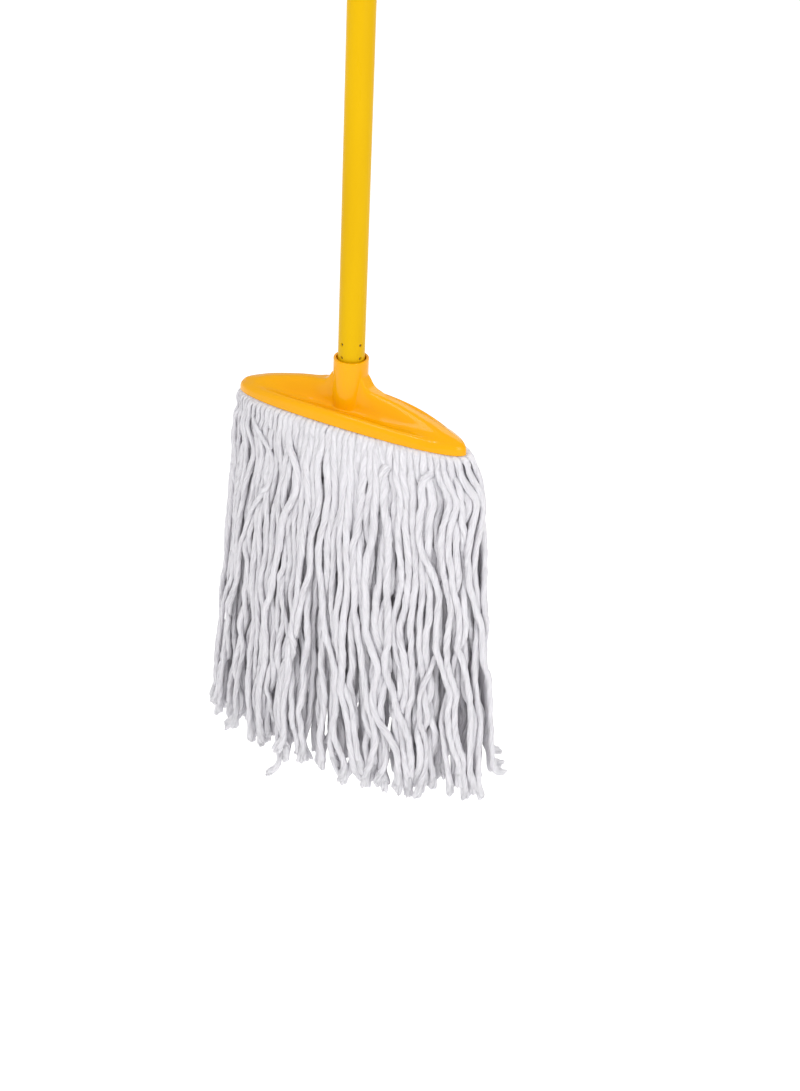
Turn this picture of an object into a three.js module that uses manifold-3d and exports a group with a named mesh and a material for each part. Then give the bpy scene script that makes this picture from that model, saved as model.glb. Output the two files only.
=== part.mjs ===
// String mop: a boat-shaped moulded head with its socket, screwed to the end of a steel tube handle.
// Cotton yarn lies crosswise between the head and a clamp plate, rolls over the plate's edge and hangs all round it.
//
// Units are millimetres, +Z is up, +X runs along the head and -Y is the front.
// The origin is the point of the hanging hole that a hook bears on, at the top of the handle.
// Everything is drawn from the head datum, which is on the handle's axis at the level of the shell's two tips.

import * as THREE from "three";
import { mergeVertices } from "three/addons/utils/BufferGeometryUtils.js";
import Module from "manifold-3d";

const wasm = await Module();
wasm.setup();

// ---------------------------------------------------------------- driving dimensions
// shell, seen from above: half-width y = HALF_W * (1 - (x / HALF_L)^2)^PLAN_N
const HALF_L = 126.1;
const HALF_W = 34.6;
const PLAN_N = 0.59;
const LIP_ARCH = 8.4; // the lower edge is this much higher at the middle than at the tips
const NOSE_H = 8.8; // height of the rim's crest over the lower edge, at the tips
const CREST_ARCH = 14.2; // extra height of the crest at the middle, over the tips
const CREST_IN = 5.0; // the crest is this far inside the outline
const DECK_IN = 13.0; // the rim's inner slope ends here
const DECK_DROP = 8.0; // depth of the deck under the crest, at the middle
const DECK_HALF_L = 116.0;
const WALL = 2.4;

// ridge along the middle of the shell, from the socket out to both tips: height of its top by distance from the middle
const RIDGE_TOP = [
  [14.9, 52.5], [17, 51], [20, 47], [22, 44.2], [24, 42], [26, 40.2], [28, 38.9], [31, 37.5], [35, 36.4], [41, 35.3],
  [48, 34.1], [56, 32.6], [64, 30.6], [72, 28.5], [80, 26.4], [88, 24.1], [96, 21.5], [104, 18.5], [110, 15.8], [116, 12.7],
];
const RIDGE_HALF_W = 8.8; // at half its height
const RIDGE_SECTION = [
  [1.42, -1], [1.2, 0.24], [1.0, 0.5], [0.82, 0.71], [0.64, 0.88], [0.4, 0.984], [0, 1],
]; // half-width and height of the section's corners, as shares; -1 is inside the shell's wall

// socket, in one piece with the shell
const SOCKET_TOP = 66.4;
const SOCKET_R_TOP = 15.7;
const SOCKET_R_FOOT = 16.3;
const MOUTH_R = 14.4;
const BORE_R = 13.9;
const STEP_Z = 46.2; // the handle's plug stands just over this step
const THREAD_BORE_R = 10.4;
const THREAD_BORE_Z = 20.5;
const FILLET_FRONT = 4.0;
const FILLET_SIDE = 18.0; // long fillets run out along the deck

// clamp plate and its screws
const PLATE_IN = 7.5;
const PLATE_UNDER_LIP = 3.4; // its top is this far under the shell's lower edge
const PLATE_T = 3.0;
const SCREW_X = [-84, -36, 36, 84];
const BOSS_R = 4.5;
const PILOT_R = 1.8;
const SCREW_R = 1.5;
const SCREW_HEAD_R = 3.6;
const SCREW_HEAD_H = 2.2;

// handle
const TUBE_R = 12.5;
const TUBE_WALL = 0.8;
const TUBE_LENGTH = 1100;
const TUBE_BOTTOM = 48.6;
const DIMPLE_Z = [68.6, 82.2];
const DIMPLE_R = 1.1;
const DIMPLE_DEPTH = 0.45;
const THREAD_ROOT_R = 8.8;
const THREAD_PITCH = 4.2;
const THREAD_TURNS = 4.5;

// hanging cap
const TAB_T = 8;
const TAB_R = 11.5;
const HOLE_R = 5.5;
const HOLE_UP = 24; // over the tube's end

// yarn
const ROLL_OUT = 8; // the yarn rolls over this far outside the shell
const ROLL_DROP = 14; // and is held together as far as this under the lower edge
const YARN_BOTTOM = -360;
const YARN_HALF_L = 168;
const YARN_HALF_W = 72;
const YARN_T = [8, 9]; // thickness of the hanging yarn, top and bottom
const CURTAIN_X = 114; // front and rear yarn hangs inside this, end yarn outside it
const CURTAIN_GAP = 0.5;
const HANKS = 5;
const TAPE_HALF_L = 94;
const TAPE_HALF_W = 7;
const GAP = 0.4;

const TUBE_TOP = TUBE_BOTTOM + TUBE_LENGTH;
const HOLE_Z = TUBE_TOP + HOLE_UP;
const HOOK_Z = HOLE_Z + HOLE_R; // the origin, over the head datum

// ---------------------------------------------------------------- geometry helpers
const clamp = (v, lo, hi) => Math.min(hi, Math.max(lo, v));
const smooth = (v) => {
  const u = clamp(v, 0, 1);
  return u * u * (3 - 2 * u);
};

function geometryOf(points, faces) {
  const position = new Float32Array(points.length * 3);
  points.forEach((p, i) => position.set([p[0], p[1], p[2]], i * 3));
  const g = new THREE.BufferGeometry();
  g.setAttribute("position", new THREE.BufferAttribute(position, 3));
  g.setIndex(faces.flat());
  return g;
}

function merged(geometry) {
  const g = geometry.clone();
  for (const name of Object.keys(g.attributes))
    if (name !== "position") g.deleteAttribute(name);
  return mergeVertices(g, 1e-4);
}

// A closed mesh whose faces point out, whichever way its rings were wound.
function solidOf(geometry) {
  const g = merged(geometry);
  const v = g.attributes.position.array;
  const f = new Uint32Array(g.index.array);
  let six = 0;
  for (let i = 0; i < f.length; i += 3) {
    const [a, b, c] = [f[i] * 3, f[i + 1] * 3, f[i + 2] * 3];
    six +=
      v[a] * (v[b + 1] * v[c + 2] - v[b + 2] * v[c + 1]) +
      v[a + 1] * (v[b + 2] * v[c] - v[b] * v[c + 2]) +
      v[a + 2] * (v[b] * v[c + 1] - v[b + 1] * v[c]);
  }
  if (six < 0)
    for (let i = 0; i < f.length; i += 3)
      [f[i + 1], f[i + 2]] = [f[i + 2], f[i + 1]];
  return new wasm.Manifold(
    new wasm.Mesh({ numProp: 3, vertProperties: v, triVerts: f }),
  );
}

function geometryFrom(solid) {
  const m = solid.getMesh();
  const position = new Float32Array(m.numVert * 3);
  for (let i = 0; i < m.numVert; i++)
    position.set(
      m.vertProperties.subarray(i * m.numProp, i * m.numProp + 3),
      i * 3,
    );
  const g = new THREE.BufferGeometry();
  g.setAttribute("position", new THREE.BufferAttribute(position, 3));
  g.setIndex(new THREE.BufferAttribute(new Uint32Array(m.triVerts), 1));
  g.computeVertexNormals();
  return g;
}

// Skin over rings of equal length, closed at both ends by a point on the axis of the first and last ring.
function loft(rings, first, last) {
  const n = rings[0].length;
  const points = rings.flat();
  const faces = [];
  for (let r = 0; r + 1 < rings.length; r++)
    for (let i = 0; i < n; i++) {
      const j = (i + 1) % n;
      const [a, b, c, d] = [
        r * n + i,
        r * n + j,
        (r + 1) * n + j,
        (r + 1) * n + i,
      ];
      faces.push([a, b, c], [a, c, d]);
    }
  const lastRow = (rings.length - 1) * n;
  points.push(first, last);
  for (let i = 0; i < n; i++) {
    const j = (i + 1) % n;
    faces.push([points.length - 2, j, i]);
    faces.push([points.length - 1, lastRow + i, lastRow + j]);
  }
  return geometryOf(points, faces);
}

// Skin over sections of equal length with flat ends, for a section that is not star-shaped about its middle.
// Each section is a strip: its first half runs one way and its second half comes back beside it.
function stripLoft(sections) {
  const n = sections[0].length;
  const points = sections.flat();
  const faces = [];
  for (let r = 0; r + 1 < sections.length; r++)
    for (let i = 0; i < n; i++) {
      const j = (i + 1) % n;
      faces.push(
        [r * n + i, r * n + j, (r + 1) * n + j],
        [r * n + i, (r + 1) * n + j, (r + 1) * n + i],
      );
    }
  const half = n / 2;
  const end = (row, flip) => {
    for (let i = 0; i + 1 < half; i++) {
      const [a, b, c, d] = [i, i + 1, n - 2 - i, n - 1 - i].map((k) => row + k);
      const quad = [
        [a, b, c],
        [a, c, d],
      ];
      for (const t of quad) faces.push(flip ? [t[0], t[2], t[1]] : t);
    }
  };
  end(0, true);
  end((sections.length - 1) * n, false);
  return geometryOf(points, faces);
}

function lathe(profile, segments) {
  const g = new THREE.LatheGeometry(
    profile.map(([r, z]) => new THREE.Vector2(r, z)),
    segments,
  );
  g.rotateX(Math.PI / 2);
  return g;
}

// A round bar from z0 to z1 at (x, y).
function bar(r, x, y, z0, z1, segments = 24) {
  const g = new THREE.CylinderGeometry(r, r, z1 - z0, segments);
  g.rotateX(Math.PI / 2);
  g.translate(x, y, (z0 + z1) / 2);
  return g;
}

function mesh(name, geometry, color, roughness, metalness = 0) {
  const m = new THREE.Mesh(
    geometry,
    new THREE.MeshStandardMaterial({ color, roughness, metalness }),
  );
  m.name = name;
  return m;
}

// ---------------------------------------------------------------- shared surfaces
const archAt = (x) => 1 - (x / HALF_L) ** 2;
const lipZ = (x) => LIP_ARCH * archAt(x);
const crestZ = (x) => NOSE_H + CREST_ARCH * archAt(x);
const dropAt = (x) =>
  DECK_DROP * Math.max(0, 1 - (x / DECK_HALF_L) ** 2) ** 0.75;
const deckZ = (x) => crestZ(x) - dropAt(x);
const plateTop = (x) => lipZ(x) - PLATE_UNDER_LIP;

// A point of the plan outline drawn in by d, at parameter t.
function outline(t, d) {
  const s = Math.sin(t);
  return [
    (HALF_L - d) * Math.cos(t),
    (HALF_W - d) * Math.sign(s) * Math.abs(s) ** (2 * PLAN_N),
  ];
}

const ring = (n, at) =>
  Array.from({ length: n }, (_, i) => at((2 * Math.PI * i) / n));
const planRing = (n, d, z) =>
  ring(n, (t) => {
    const [x, y] = outline(t, d);
    return [x, y, z(x, y)];
  });

// ---------------------------------------------------------------- ridge of the shell
function ridgeSolid(side) {
  const sections = RIDGE_TOP.map(([x, top]) => {
    const floor = deckZ(x);
    const half = Math.min(RIDGE_HALF_W, 0.6 * outline(Math.acos(x / (HALF_L - CREST_IN)), CREST_IN)[1]);
    const corner = ([w, h]) => [half * w, h < 0 ? floor - 1.2 : floor + (top - floor) * h];
    const right = RIDGE_SECTION.map(corner);
    const left = right.slice(0, -1).reverse().map(([y, z]) => [-y, z]);
    return [...right, ...left].map(([y, z]) => [side * x, side * y, z]);
  });
  const middle = ([x, top]) => [side * x, 0, deckZ(x) + 0.3 * (top - deckZ(x))];
  return solidOf(loft(sections, middle(RIDGE_TOP[0]), middle(RIDGE_TOP.at(-1))));
}

// ---------------------------------------------------------------- head shell with its socket
const SIDES = 44;

function shellSolid() {
  const lip = (share) => (x) => lipZ(x) + share * (crestZ(x) - lipZ(x));
  const slope = (d) => (x) =>
    crestZ(x) -
    dropAt(x) * smooth((d - CREST_IN) / (DECK_IN - CREST_IN));
  const socketR = (z) =>
    SOCKET_R_TOP +
    ((SOCKET_R_FOOT - SOCKET_R_TOP) * (SOCKET_TOP - z)) / (SOCKET_TOP - 15);
  const circle = (r, z) =>
    ring(SIDES, (t) => [r * Math.cos(t), r * Math.sin(t), z]);
  const filletR = (t) =>
    FILLET_FRONT + (FILLET_SIDE - FILLET_FRONT) * Math.abs(Math.cos(t)) ** 6;

  const rings = [];
  // underside, from the middle outwards
  const under = (x) => deckZ(x) - WALL;
  for (const share of [0.12, 0.4, 0.7])
    rings.push(
      ring(SIDES, (t) => {
        const [x, y] = outline(t, DECK_IN);
        return [x * share, y * share, under(x * share)];
      }),
    );
  rings.push(planRing(SIDES, DECK_IN + 0.4, under));
  rings.push(planRing(SIDES, 9.4, (x) => slope(9)(x) - WALL));
  rings.push(planRing(SIDES, 5.8, (x) => crestZ(x) - WALL));
  rings.push(planRing(SIDES, 3.6, lip(0.55)));
  rings.push(planRing(SIDES, 2.6, lip(0.04)));
  rings.push(planRing(SIDES, 2.0, lipZ));
  // outside
  rings.push(planRing(SIDES, 0.35, lipZ));
  rings.push(planRing(SIDES, 0, lip(0.05)));
  rings.push(planRing(SIDES, 0.25, lip(0.3)));
  rings.push(planRing(SIDES, 0.8, lip(0.58)));
  rings.push(planRing(SIDES, 1.9, lip(0.82)));
  rings.push(planRing(SIDES, 3.3, lip(0.955)));
  rings.push(planRing(SIDES, CREST_IN, crestZ));
  for (const d of [7, 9, 11]) rings.push(planRing(SIDES, d, slope(d)));
  rings.push(planRing(SIDES, DECK_IN, slope(DECK_IN)));
  // deck, closing on the foot of the socket
  const foot = (t) => {
    const r = SOCKET_R_FOOT + filletR(t);
    return [r * Math.cos(t), r * Math.sin(t)];
  };
  for (const s of [0.25, 0.5, 0.75])
    rings.push(
      ring(SIDES, (t) => {
        const [x0, y0] = outline(t, DECK_IN);
        const [x1, y1] = foot(t);
        const x = x0 + (x1 - x0) * s;
        return [x, y0 + (y1 - y0) * s, deckZ(x)];
      }),
    );
  for (const deg of [90, 66, 44, 22, 0])
    rings.push(
      ring(SIDES, (t) => {
        const R = filletR(t);
        const phi = (deg * Math.PI) / 180;
        const [fx] = foot(t);
        const z = deckZ(fx) + R * (1 - Math.sin(phi));
        const r = socketR(z) + R * (1 - Math.cos(phi));
        return [r * Math.cos(t), r * Math.sin(t), z];
      }),
    );
  // socket wall, mouth and bore
  rings.push(circle(socketR(48), 48));
  rings.push(circle(SOCKET_R_TOP, SOCKET_TOP - 0.8));
  rings.push(circle(SOCKET_R_TOP - 0.35, SOCKET_TOP - 0.12));
  rings.push(circle(SOCKET_R_TOP - 0.65, SOCKET_TOP));
  rings.push(circle(MOUTH_R + 0.25, SOCKET_TOP - 0.15));
  rings.push(circle(MOUTH_R, SOCKET_TOP - 0.7));
  rings.push(circle(BORE_R, STEP_Z + 2));
  rings.push(circle(BORE_R - 0.3, STEP_Z));
  rings.push(circle(THREAD_BORE_R + 0.6, STEP_Z));
  rings.push(circle(THREAD_BORE_R, STEP_Z - 0.8));
  rings.push(circle(THREAD_BORE_R, THREAD_BORE_Z));
  let solid = solidOf(
    loft(rings, [0, 0, under(0)], [0, 0, THREAD_BORE_Z]),
  );
  for (const side of [-1, 1]) solid = solid.add(ridgeSolid(side));
  for (const x of SCREW_X) {
    const top = deckZ(x) - 1.2;
    const bottom = plateTop(x) + GAP;
    solid = solid.add(solidOf(bar(BOSS_R, x, 0, bottom, top, 20)));
    solid = solid.subtract(
      solidOf(bar(PILOT_R, x, 0, bottom - 1, bottom + 8, 16)),
    );
  }
  return solid;
}

// ---------------------------------------------------------------- clamp plate
function plateSolid() {
  const top = (x) => plateTop(x);
  const bottom = (x) => plateTop(x) - PLATE_T;
  const n = 40;
  const scaled = (share, z) =>
    ring(n, (t) => {
      const [x, y] = outline(t, PLATE_IN + 0.8);
      return [x * share, y * share, z(x * share)];
    });
  const rings = [
    scaled(0.35, top),
    scaled(0.7, top),
    planRing(n, PLATE_IN + 0.8, top),
    planRing(n, PLATE_IN, (x) => top(x) - 0.8),
    planRing(n, PLATE_IN, (x) => bottom(x) + 0.8),
    planRing(n, PLATE_IN + 0.8, bottom),
    scaled(0.7, bottom),
    scaled(0.35, bottom),
  ];
  let solid = solidOf(loft(rings, [0, 0, top(0)], [0, 0, bottom(0)]));
  for (const x of SCREW_X) {
    solid = solid.subtract(
      solidOf(bar(PILOT_R + 0.2, x, 0, bottom(x) - 4, top(x) + 4, 16)),
    );
    solid = solid.subtract(
      solidOf(
        bar(SCREW_HEAD_R + 0.8, x, 0, bottom(x) - 4, bottom(x) + 1.3, 20),
      ),
    );
  }
  return solid;
}

// A pan-head tapping screw that holds the plate, pointing up.
function screwGeometry(x) {
  const seat = plateTop(x) - PLATE_T + 1.3 - 0.3;
  const tip = plateTop(x) + GAP + 7.2;
  const g = lathe(
    [
      [0, seat - SCREW_HEAD_H + 0.9],
      [0.9, seat - SCREW_HEAD_H + 0.9],
      [1.3, seat - SCREW_HEAD_H],
      [SCREW_HEAD_R - 1.1, seat - SCREW_HEAD_H],
      [SCREW_HEAD_R, seat - SCREW_HEAD_H + 0.9],
      [SCREW_HEAD_R, seat],
      [SCREW_R, seat],
      [SCREW_R, tip - 1.5],
      [0, tip],
    ],
    16,
  );
  g.translate(x, 0, 0);
  return g;
}

// ---------------------------------------------------------------- yarn
// The laid yarn: a mat between shell and plate whose edge rolls over and down outside the plate.
function yarnMatSolid() {
  const n = 40;
  const topIn = (x) => deckZ(x) - WALL - GAP;
  const bottomIn = (x) => plateTop(x) + 1.8;
  const scaled = (share, z) =>
    ring(n, (t) => {
      const [x, y] = outline(t, DECK_IN + 1.2);
      return [x * share, y * share, z(x * share)];
    });
  const rings = [
    scaled(0.3, topIn),
    scaled(0.65, topIn),
    planRing(n, DECK_IN + 1.2, topIn),
    planRing(n, 3.4, (x) => Math.min(lipZ(x), topIn(x)) - GAP),
    planRing(n, -2.5, (x) => lipZ(x) - GAP),
    planRing(n, -ROLL_OUT + 2, (x) => lipZ(x) - 2.2),
    planRing(n, -ROLL_OUT, (x) => lipZ(x) - 6.5),
    planRing(n, -ROLL_OUT, (x) => lipZ(x) - ROLL_DROP),
    planRing(n, PLATE_IN - 0.8, (x) => lipZ(x) - ROLL_DROP),
    planRing(n, PLATE_IN - 0.8, (x) => plateTop(x) - 0.2),
    planRing(n, PLATE_IN + 0.6, (x) => plateTop(x) + GAP),
    planRing(n, PLATE_IN + 3, (x) => plateTop(x) + GAP),
    planRing(n, DECK_IN + 1.2, bottomIn),
    scaled(0.8, bottomIn),
    scaled(0.6, bottomIn),
    scaled(0.4, bottomIn),
    scaled(0.2, bottomIn),
  ];
  let solid = solidOf(
    loft(rings, [0, 0, topIn(0)], [0, 0, bottomIn(0)]),
  );
  for (const x of SCREW_X)
    solid = solid.subtract(solidOf(bar(BOSS_R + GAP, x, 0, -12, 30, 20)));
  return solid;
}

// The tape that the laid yarns are sewn to along the middle, under them.
function tapeSolid() {
  const z = (x) => plateTop(x) + GAP;
  const sections = [];
  for (let i = 0; i <= 24; i++) {
    const x = -TAPE_HALF_L + (2 * TAPE_HALF_L * i) / 24;
    sections.push([
      [x, -TAPE_HALF_W, z(x)],
      [x, TAPE_HALF_W, z(x)],
      [x, TAPE_HALF_W, z(x) + 1],
      [x, -TAPE_HALF_W, z(x) + 1],
    ]);
  }
  let solid = solidOf(stripLoft(sections));
  for (const x of SCREW_X)
    solid = solid.subtract(solidOf(bar(BOSS_R + GAP, x, 0, -12, 30, 20)));
  return solid;
}

// Half-axes of the hanging yarn's outer face, at a share s of the way down.
const yarnA = (s) => HALF_L + ROLL_OUT + (YARN_HALF_L - HALF_L - ROLL_OUT) * s;
const yarnB = (s) =>
  HALF_W + ROLL_OUT + (YARN_HALF_W - HALF_W - ROLL_OUT) * s ** 0.85;
const yarnY = (x, a, b) => b * Math.max(0, 1 - (x / a) ** 2) ** PLAN_N;
const yarnTop = (x) => lipZ(x) - ROLL_DROP - 0.5;
const LEVELS = [0, 0.04, 0.15, 0.3, 0.5, 0.75, 1];

// One hank of the front (side -1) or rear (side 1) yarn, between x0 and x1.
function hankGeometry(side, x0, x1) {
  const steps = 4;
  return stripLoft(
    LEVELS.map((s) => {
      const t = YARN_T[0] + (YARN_T[1] - YARN_T[0]) * s;
      const [a, b] = [yarnA(s), yarnB(s)];
      const xs = Array.from(
        { length: steps + 1 },
        (_, i) => x0 + ((x1 - x0) * i) / steps,
      );
      const zAt = (x) => yarnTop(x) + (YARN_BOTTOM - yarnTop(x)) * s;
      return [
        ...xs.map((x) => [x, side * yarnY(x, a, b), zAt(x)]),
        ...xs
          .slice()
          .reverse()
          .map((x) => [x, side * yarnY(x, a - t, b - t), zAt(x)]),
      ];
    }),
  );
}

// The yarn that fans round one tip: end is -1 or 1 along X, side -1 or 1 along Y.
function tipHankGeometry(end, side) {
  const steps = 7;
  const x0 = CURTAIN_X + CURTAIN_GAP;
  return stripLoft(
    LEVELS.map((s) => {
      const t = YARN_T[0] + (YARN_T[1] - YARN_T[0]) * s;
      const strip = (a, b) =>
        Array.from({ length: steps + 1 }, (_, i) => {
          // even steps of angle from the split plane to the tip, which stops just short of y = 0
          const u = Math.acos(x0 / a) * (1 - i / steps);
          const x = i === steps ? a : a * Math.cos(u);
          const y = Math.max(0.3, yarnY(x, a, b));
          return [x, y];
        });
      const zAt = (x) =>
        yarnTop(Math.min(x, HALF_L + 6)) +
        (YARN_BOTTOM - yarnTop(Math.min(x, HALF_L + 6))) * s;
      const out = strip(yarnA(s), yarnB(s));
      const back = strip(yarnA(s) - t, yarnB(s) - t).reverse();
      return [...out, ...back].map(([x, y]) => [end * x, side * y, zAt(x)]);
    }),
  );
}

// ---------------------------------------------------------------- handle
function tubeSolid() {
  let solid = solidOf(
    lathe(
      [
        [TUBE_R - TUBE_WALL, TUBE_BOTTOM],
        [TUBE_R - 0.15, TUBE_BOTTOM],
        [TUBE_R, TUBE_BOTTOM + 0.2],
        [TUBE_R, TUBE_BOTTOM + 40],
        [TUBE_R, TUBE_TOP - 0.2],
        [TUBE_R - 0.15, TUBE_TOP],
        [TUBE_R - TUBE_WALL, TUBE_TOP],
        [TUBE_R - TUBE_WALL, TUBE_BOTTOM],
      ],
      36,
    ),
  );
  // two rows of punch marks that lock the plug in the tube
  for (const z of DIMPLE_Z)
    for (let i = 0; i < 4; i++) {
      const angle = ((-61 + 45 + 90 * i) * Math.PI) / 180;
      const r = TUBE_R + DIMPLE_R - DIMPLE_DEPTH;
      const g = new THREE.IcosahedronGeometry(DIMPLE_R, 1);
      g.translate(r * Math.cos(angle), r * Math.sin(angle), z);
      solid = solid.subtract(solidOf(g));
    }
  return solid;
}

class Helix extends THREE.Curve {
  constructor(radius, pitch, turns, z0) {
    super();
    Object.assign(this, { radius, pitch, turns, z0 });
  }
  getPoint(u, target = new THREE.Vector3()) {
    const angle = 2 * Math.PI * this.turns * u;
    return target.set(
      this.radius * Math.cos(angle),
      this.radius * Math.sin(angle),
      this.z0 + this.pitch * this.turns * u,
    );
  }
}

// The plug that closes the tube's lower end: a sleeve inside the tube and a round-threaded tip below it.
function plugSolid() {
  const bottom = THREAD_BORE_Z + 1.6;
  const inR = TUBE_R - TUBE_WALL - 0.35;
  const body = solidOf(
    lathe(
      [
        [0, bottom],
        [THREAD_ROOT_R - 1.5, bottom],
        [THREAD_ROOT_R, bottom + 1.5],
        [THREAD_ROOT_R, STEP_Z + 0.4],
        [TUBE_R - 0.2, STEP_Z + 0.4],
        [TUBE_R, STEP_Z + 0.8],
        [TUBE_R, TUBE_BOTTOM - 0.4],
        [inR, TUBE_BOTTOM - 0.4],
        [inR, TUBE_BOTTOM + 44],
        [inR - 1.2, TUBE_BOTTOM + 46],
        [inR - 3.2, TUBE_BOTTOM + 46],
        [inR - 3.2, TUBE_BOTTOM + 6],
        [0, TUBE_BOTTOM + 6],
      ],
      28,
    ),
  );
  const section = new THREE.Shape();
  section.absarc(0, 0, 1.05, 0, 2 * Math.PI, false);
  const ridge = new THREE.ExtrudeGeometry(section, {
    extrudePath: new Helix(
      THREAD_ROOT_R + 0.1,
      THREAD_PITCH,
      THREAD_TURNS,
      bottom + 2.6,
    ),
    steps: Math.round(14 * THREAD_TURNS),
    curveSegments: 3,
    bevelEnabled: false,
  });
  return body.add(solidOf(ridge));
}

// The cap pressed into the tube's top, with a flat tab and its hanging hole.
function hangCapSolid() {
  const inR = TUBE_R - TUBE_WALL - 0.35;
  const z = TUBE_TOP;
  const cap = solidOf(
    lathe(
      [
        [0, z - 26],
        [inR - 1.4, z - 26],
        [inR, z - 23.5],
        [inR, z + GAP],
        [TUBE_R + 1, z + GAP],
        [TUBE_R + 1.4, z + 0.8],
        [TUBE_R + 1.4, z + 2.6],
        [TUBE_R + 0.8, z + 3.6],
        [TUBE_R - 2, z + 5.6],
        [TUBE_R - 6, z + 8.4],
        [0, z + 10],
      ],
      28,
    ),
  );
  const shape = new THREE.Shape();
  shape.moveTo(-TAB_R, 2);
  shape.lineTo(TAB_R, 2);
  shape.lineTo(TAB_R, HOLE_UP);
  shape.absarc(0, HOLE_UP, TAB_R, 0, Math.PI, false);
  shape.lineTo(-TAB_R, 2);
  const hole = new THREE.Path();
  hole.absarc(0, HOLE_UP, HOLE_R, 0, 2 * Math.PI, true);
  shape.holes.push(hole);
  const tab = new THREE.ExtrudeGeometry(shape, {
    depth: TAB_T - 2,
    bevelEnabled: true,
    bevelThickness: 1,
    bevelSize: 1,
    bevelOffset: -1,
    bevelSegments: 1,
    curveSegments: 10,
  });
  tab.rotateX(Math.PI / 2);
  tab.translate(0, TAB_T / 2 - 1, z);
  return cap.add(solidOf(tab));
}

// ---------------------------------------------------------------- assembly
const HEAD_ORANGE = 0xf9b31f;
const HANDLE_YELLOW = 0xe9b81c;
const YARN_WHITE = 0xe6e3e8;

const group = new THREE.Group();
group.name = "string_mop";

const datum = new THREE.Group(); // the head datum, under the hook point
datum.position.set(0, 0, -HOOK_Z);
group.add(datum);

const handle = new THREE.Group();
handle.add(mesh("handle_tube", geometryFrom(tubeSolid()), HANDLE_YELLOW, 0.3, 0.1));
handle.add(mesh("handle_plug", geometryFrom(plugSolid()), 0x2b2b2d, 0.5));
handle.add(mesh("hang_cap", geometryFrom(hangCapSolid()), HEAD_ORANGE, 0.35));
datum.add(handle);

const head = new THREE.Group();
head.add(mesh("head_shell", geometryFrom(shellSolid()), HEAD_ORANGE, 0.25));
head.add(mesh("clamp_plate", geometryFrom(plateSolid()), HEAD_ORANGE, 0.35));
SCREW_X.forEach((x, i) =>
  head.add(mesh("clamp_screw_" + (i + 1), screwGeometry(x), 0xb9bcc0, 0.35, 0.9)),
);
head.add(mesh("yarn_mat", geometryFrom(yarnMatSolid()), YARN_WHITE, 0.95));
head.add(mesh("binding_tape", geometryFrom(tapeSolid()), 0xe0dccf, 0.9));
datum.add(head);

const yarn = new THREE.Group();
const width = (2 * CURTAIN_X - (HANKS - 1) * CURTAIN_GAP) / HANKS;
for (const [word, side] of [
  ["front", -1],
  ["rear", 1],
])
  for (let i = 0; i < HANKS; i++) {
    const x0 = -CURTAIN_X + i * (width + CURTAIN_GAP);
    yarn.add(
      mesh(
        "yarn_" + word + "_" + (i + 1),
        geometryFrom(solidOf(hankGeometry(side, x0, x0 + width))),
        YARN_WHITE,
        0.95,
      ),
    );
  }
for (const [word, end] of [
  ["left", -1],
  ["right", 1],
])
  for (const [half, side] of [
    ["front", -1],
    ["rear", 1],
  ])
    yarn.add(
      mesh(
        "yarn_" + word + "_" + half,
        geometryFrom(solidOf(tipHankGeometry(end, side))),
        YARN_WHITE,
        0.95,
      ),
    );
datum.add(yarn);

export default group;
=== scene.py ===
"""String mop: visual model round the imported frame. Metres, same frame as the CAD."""

import math

import bmesh
import bpy
import numpy as np
from mathutils import Matrix, Vector


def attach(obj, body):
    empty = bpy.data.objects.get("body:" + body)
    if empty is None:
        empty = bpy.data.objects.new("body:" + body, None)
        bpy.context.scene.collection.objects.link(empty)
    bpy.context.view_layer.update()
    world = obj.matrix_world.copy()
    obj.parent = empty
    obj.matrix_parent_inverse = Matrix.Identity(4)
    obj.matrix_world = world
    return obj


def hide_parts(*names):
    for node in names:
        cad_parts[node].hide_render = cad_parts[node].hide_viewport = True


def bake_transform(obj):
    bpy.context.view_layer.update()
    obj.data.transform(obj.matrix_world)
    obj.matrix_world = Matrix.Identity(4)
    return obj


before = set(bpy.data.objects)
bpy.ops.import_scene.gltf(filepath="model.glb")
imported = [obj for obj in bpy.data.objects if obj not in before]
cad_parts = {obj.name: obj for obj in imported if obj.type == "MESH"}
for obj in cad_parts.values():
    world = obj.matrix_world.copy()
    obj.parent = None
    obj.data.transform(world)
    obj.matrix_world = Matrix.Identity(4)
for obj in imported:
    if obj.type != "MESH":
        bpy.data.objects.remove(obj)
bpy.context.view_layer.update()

MM = 0.001
HOOK_Z = 1178.1  # the hook point over the head datum, in mm
rng = np.random.default_rng(20)


# ---------------------------------------------------------------- camera
def vec(*v):
    return np.array(v, float)


ELEV, AZ, ROLL = (math.radians(v) for v in (30.86, 29.07, 2.70))
CAM_D, CAM_F, CAM_TX, CAM_TZ = 1828.0, 1829.0, 54.2, -138.2
back = vec(math.sin(AZ) * math.cos(ELEV), -math.cos(AZ) * math.cos(ELEV), math.sin(ELEV))
right = vec(math.cos(AZ), math.sin(AZ), 0)
up = np.cross(back, right)
cam_x = right * math.cos(ROLL) + up * math.sin(ROLL)
cam_y = -right * math.sin(ROLL) + up * math.cos(ROLL)
eye = vec(0, 0, CAM_TZ) + right * CAM_TX + back * CAM_D - vec(0, 0, HOOK_Z)
cam_data = bpy.data.cameras.new("camera")
cam = bpy.data.objects.new("camera", cam_data)
bpy.context.scene.collection.objects.link(cam)
cam_data.sensor_width = 36.0
cam_data.lens = CAM_F / 1091.0 * 36.0
cam_data.clip_start, cam_data.clip_end = 0.05, 60.0
m = Matrix.Identity(4)
for k, axis in enumerate((cam_x, cam_y, back)):
    for row in range(3):
        m[row][k] = axis[row]
for row in range(3):
    m[row][3] = eye[row] * MM
cam.matrix_world = m
bpy.context.scene.camera = cam


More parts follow.
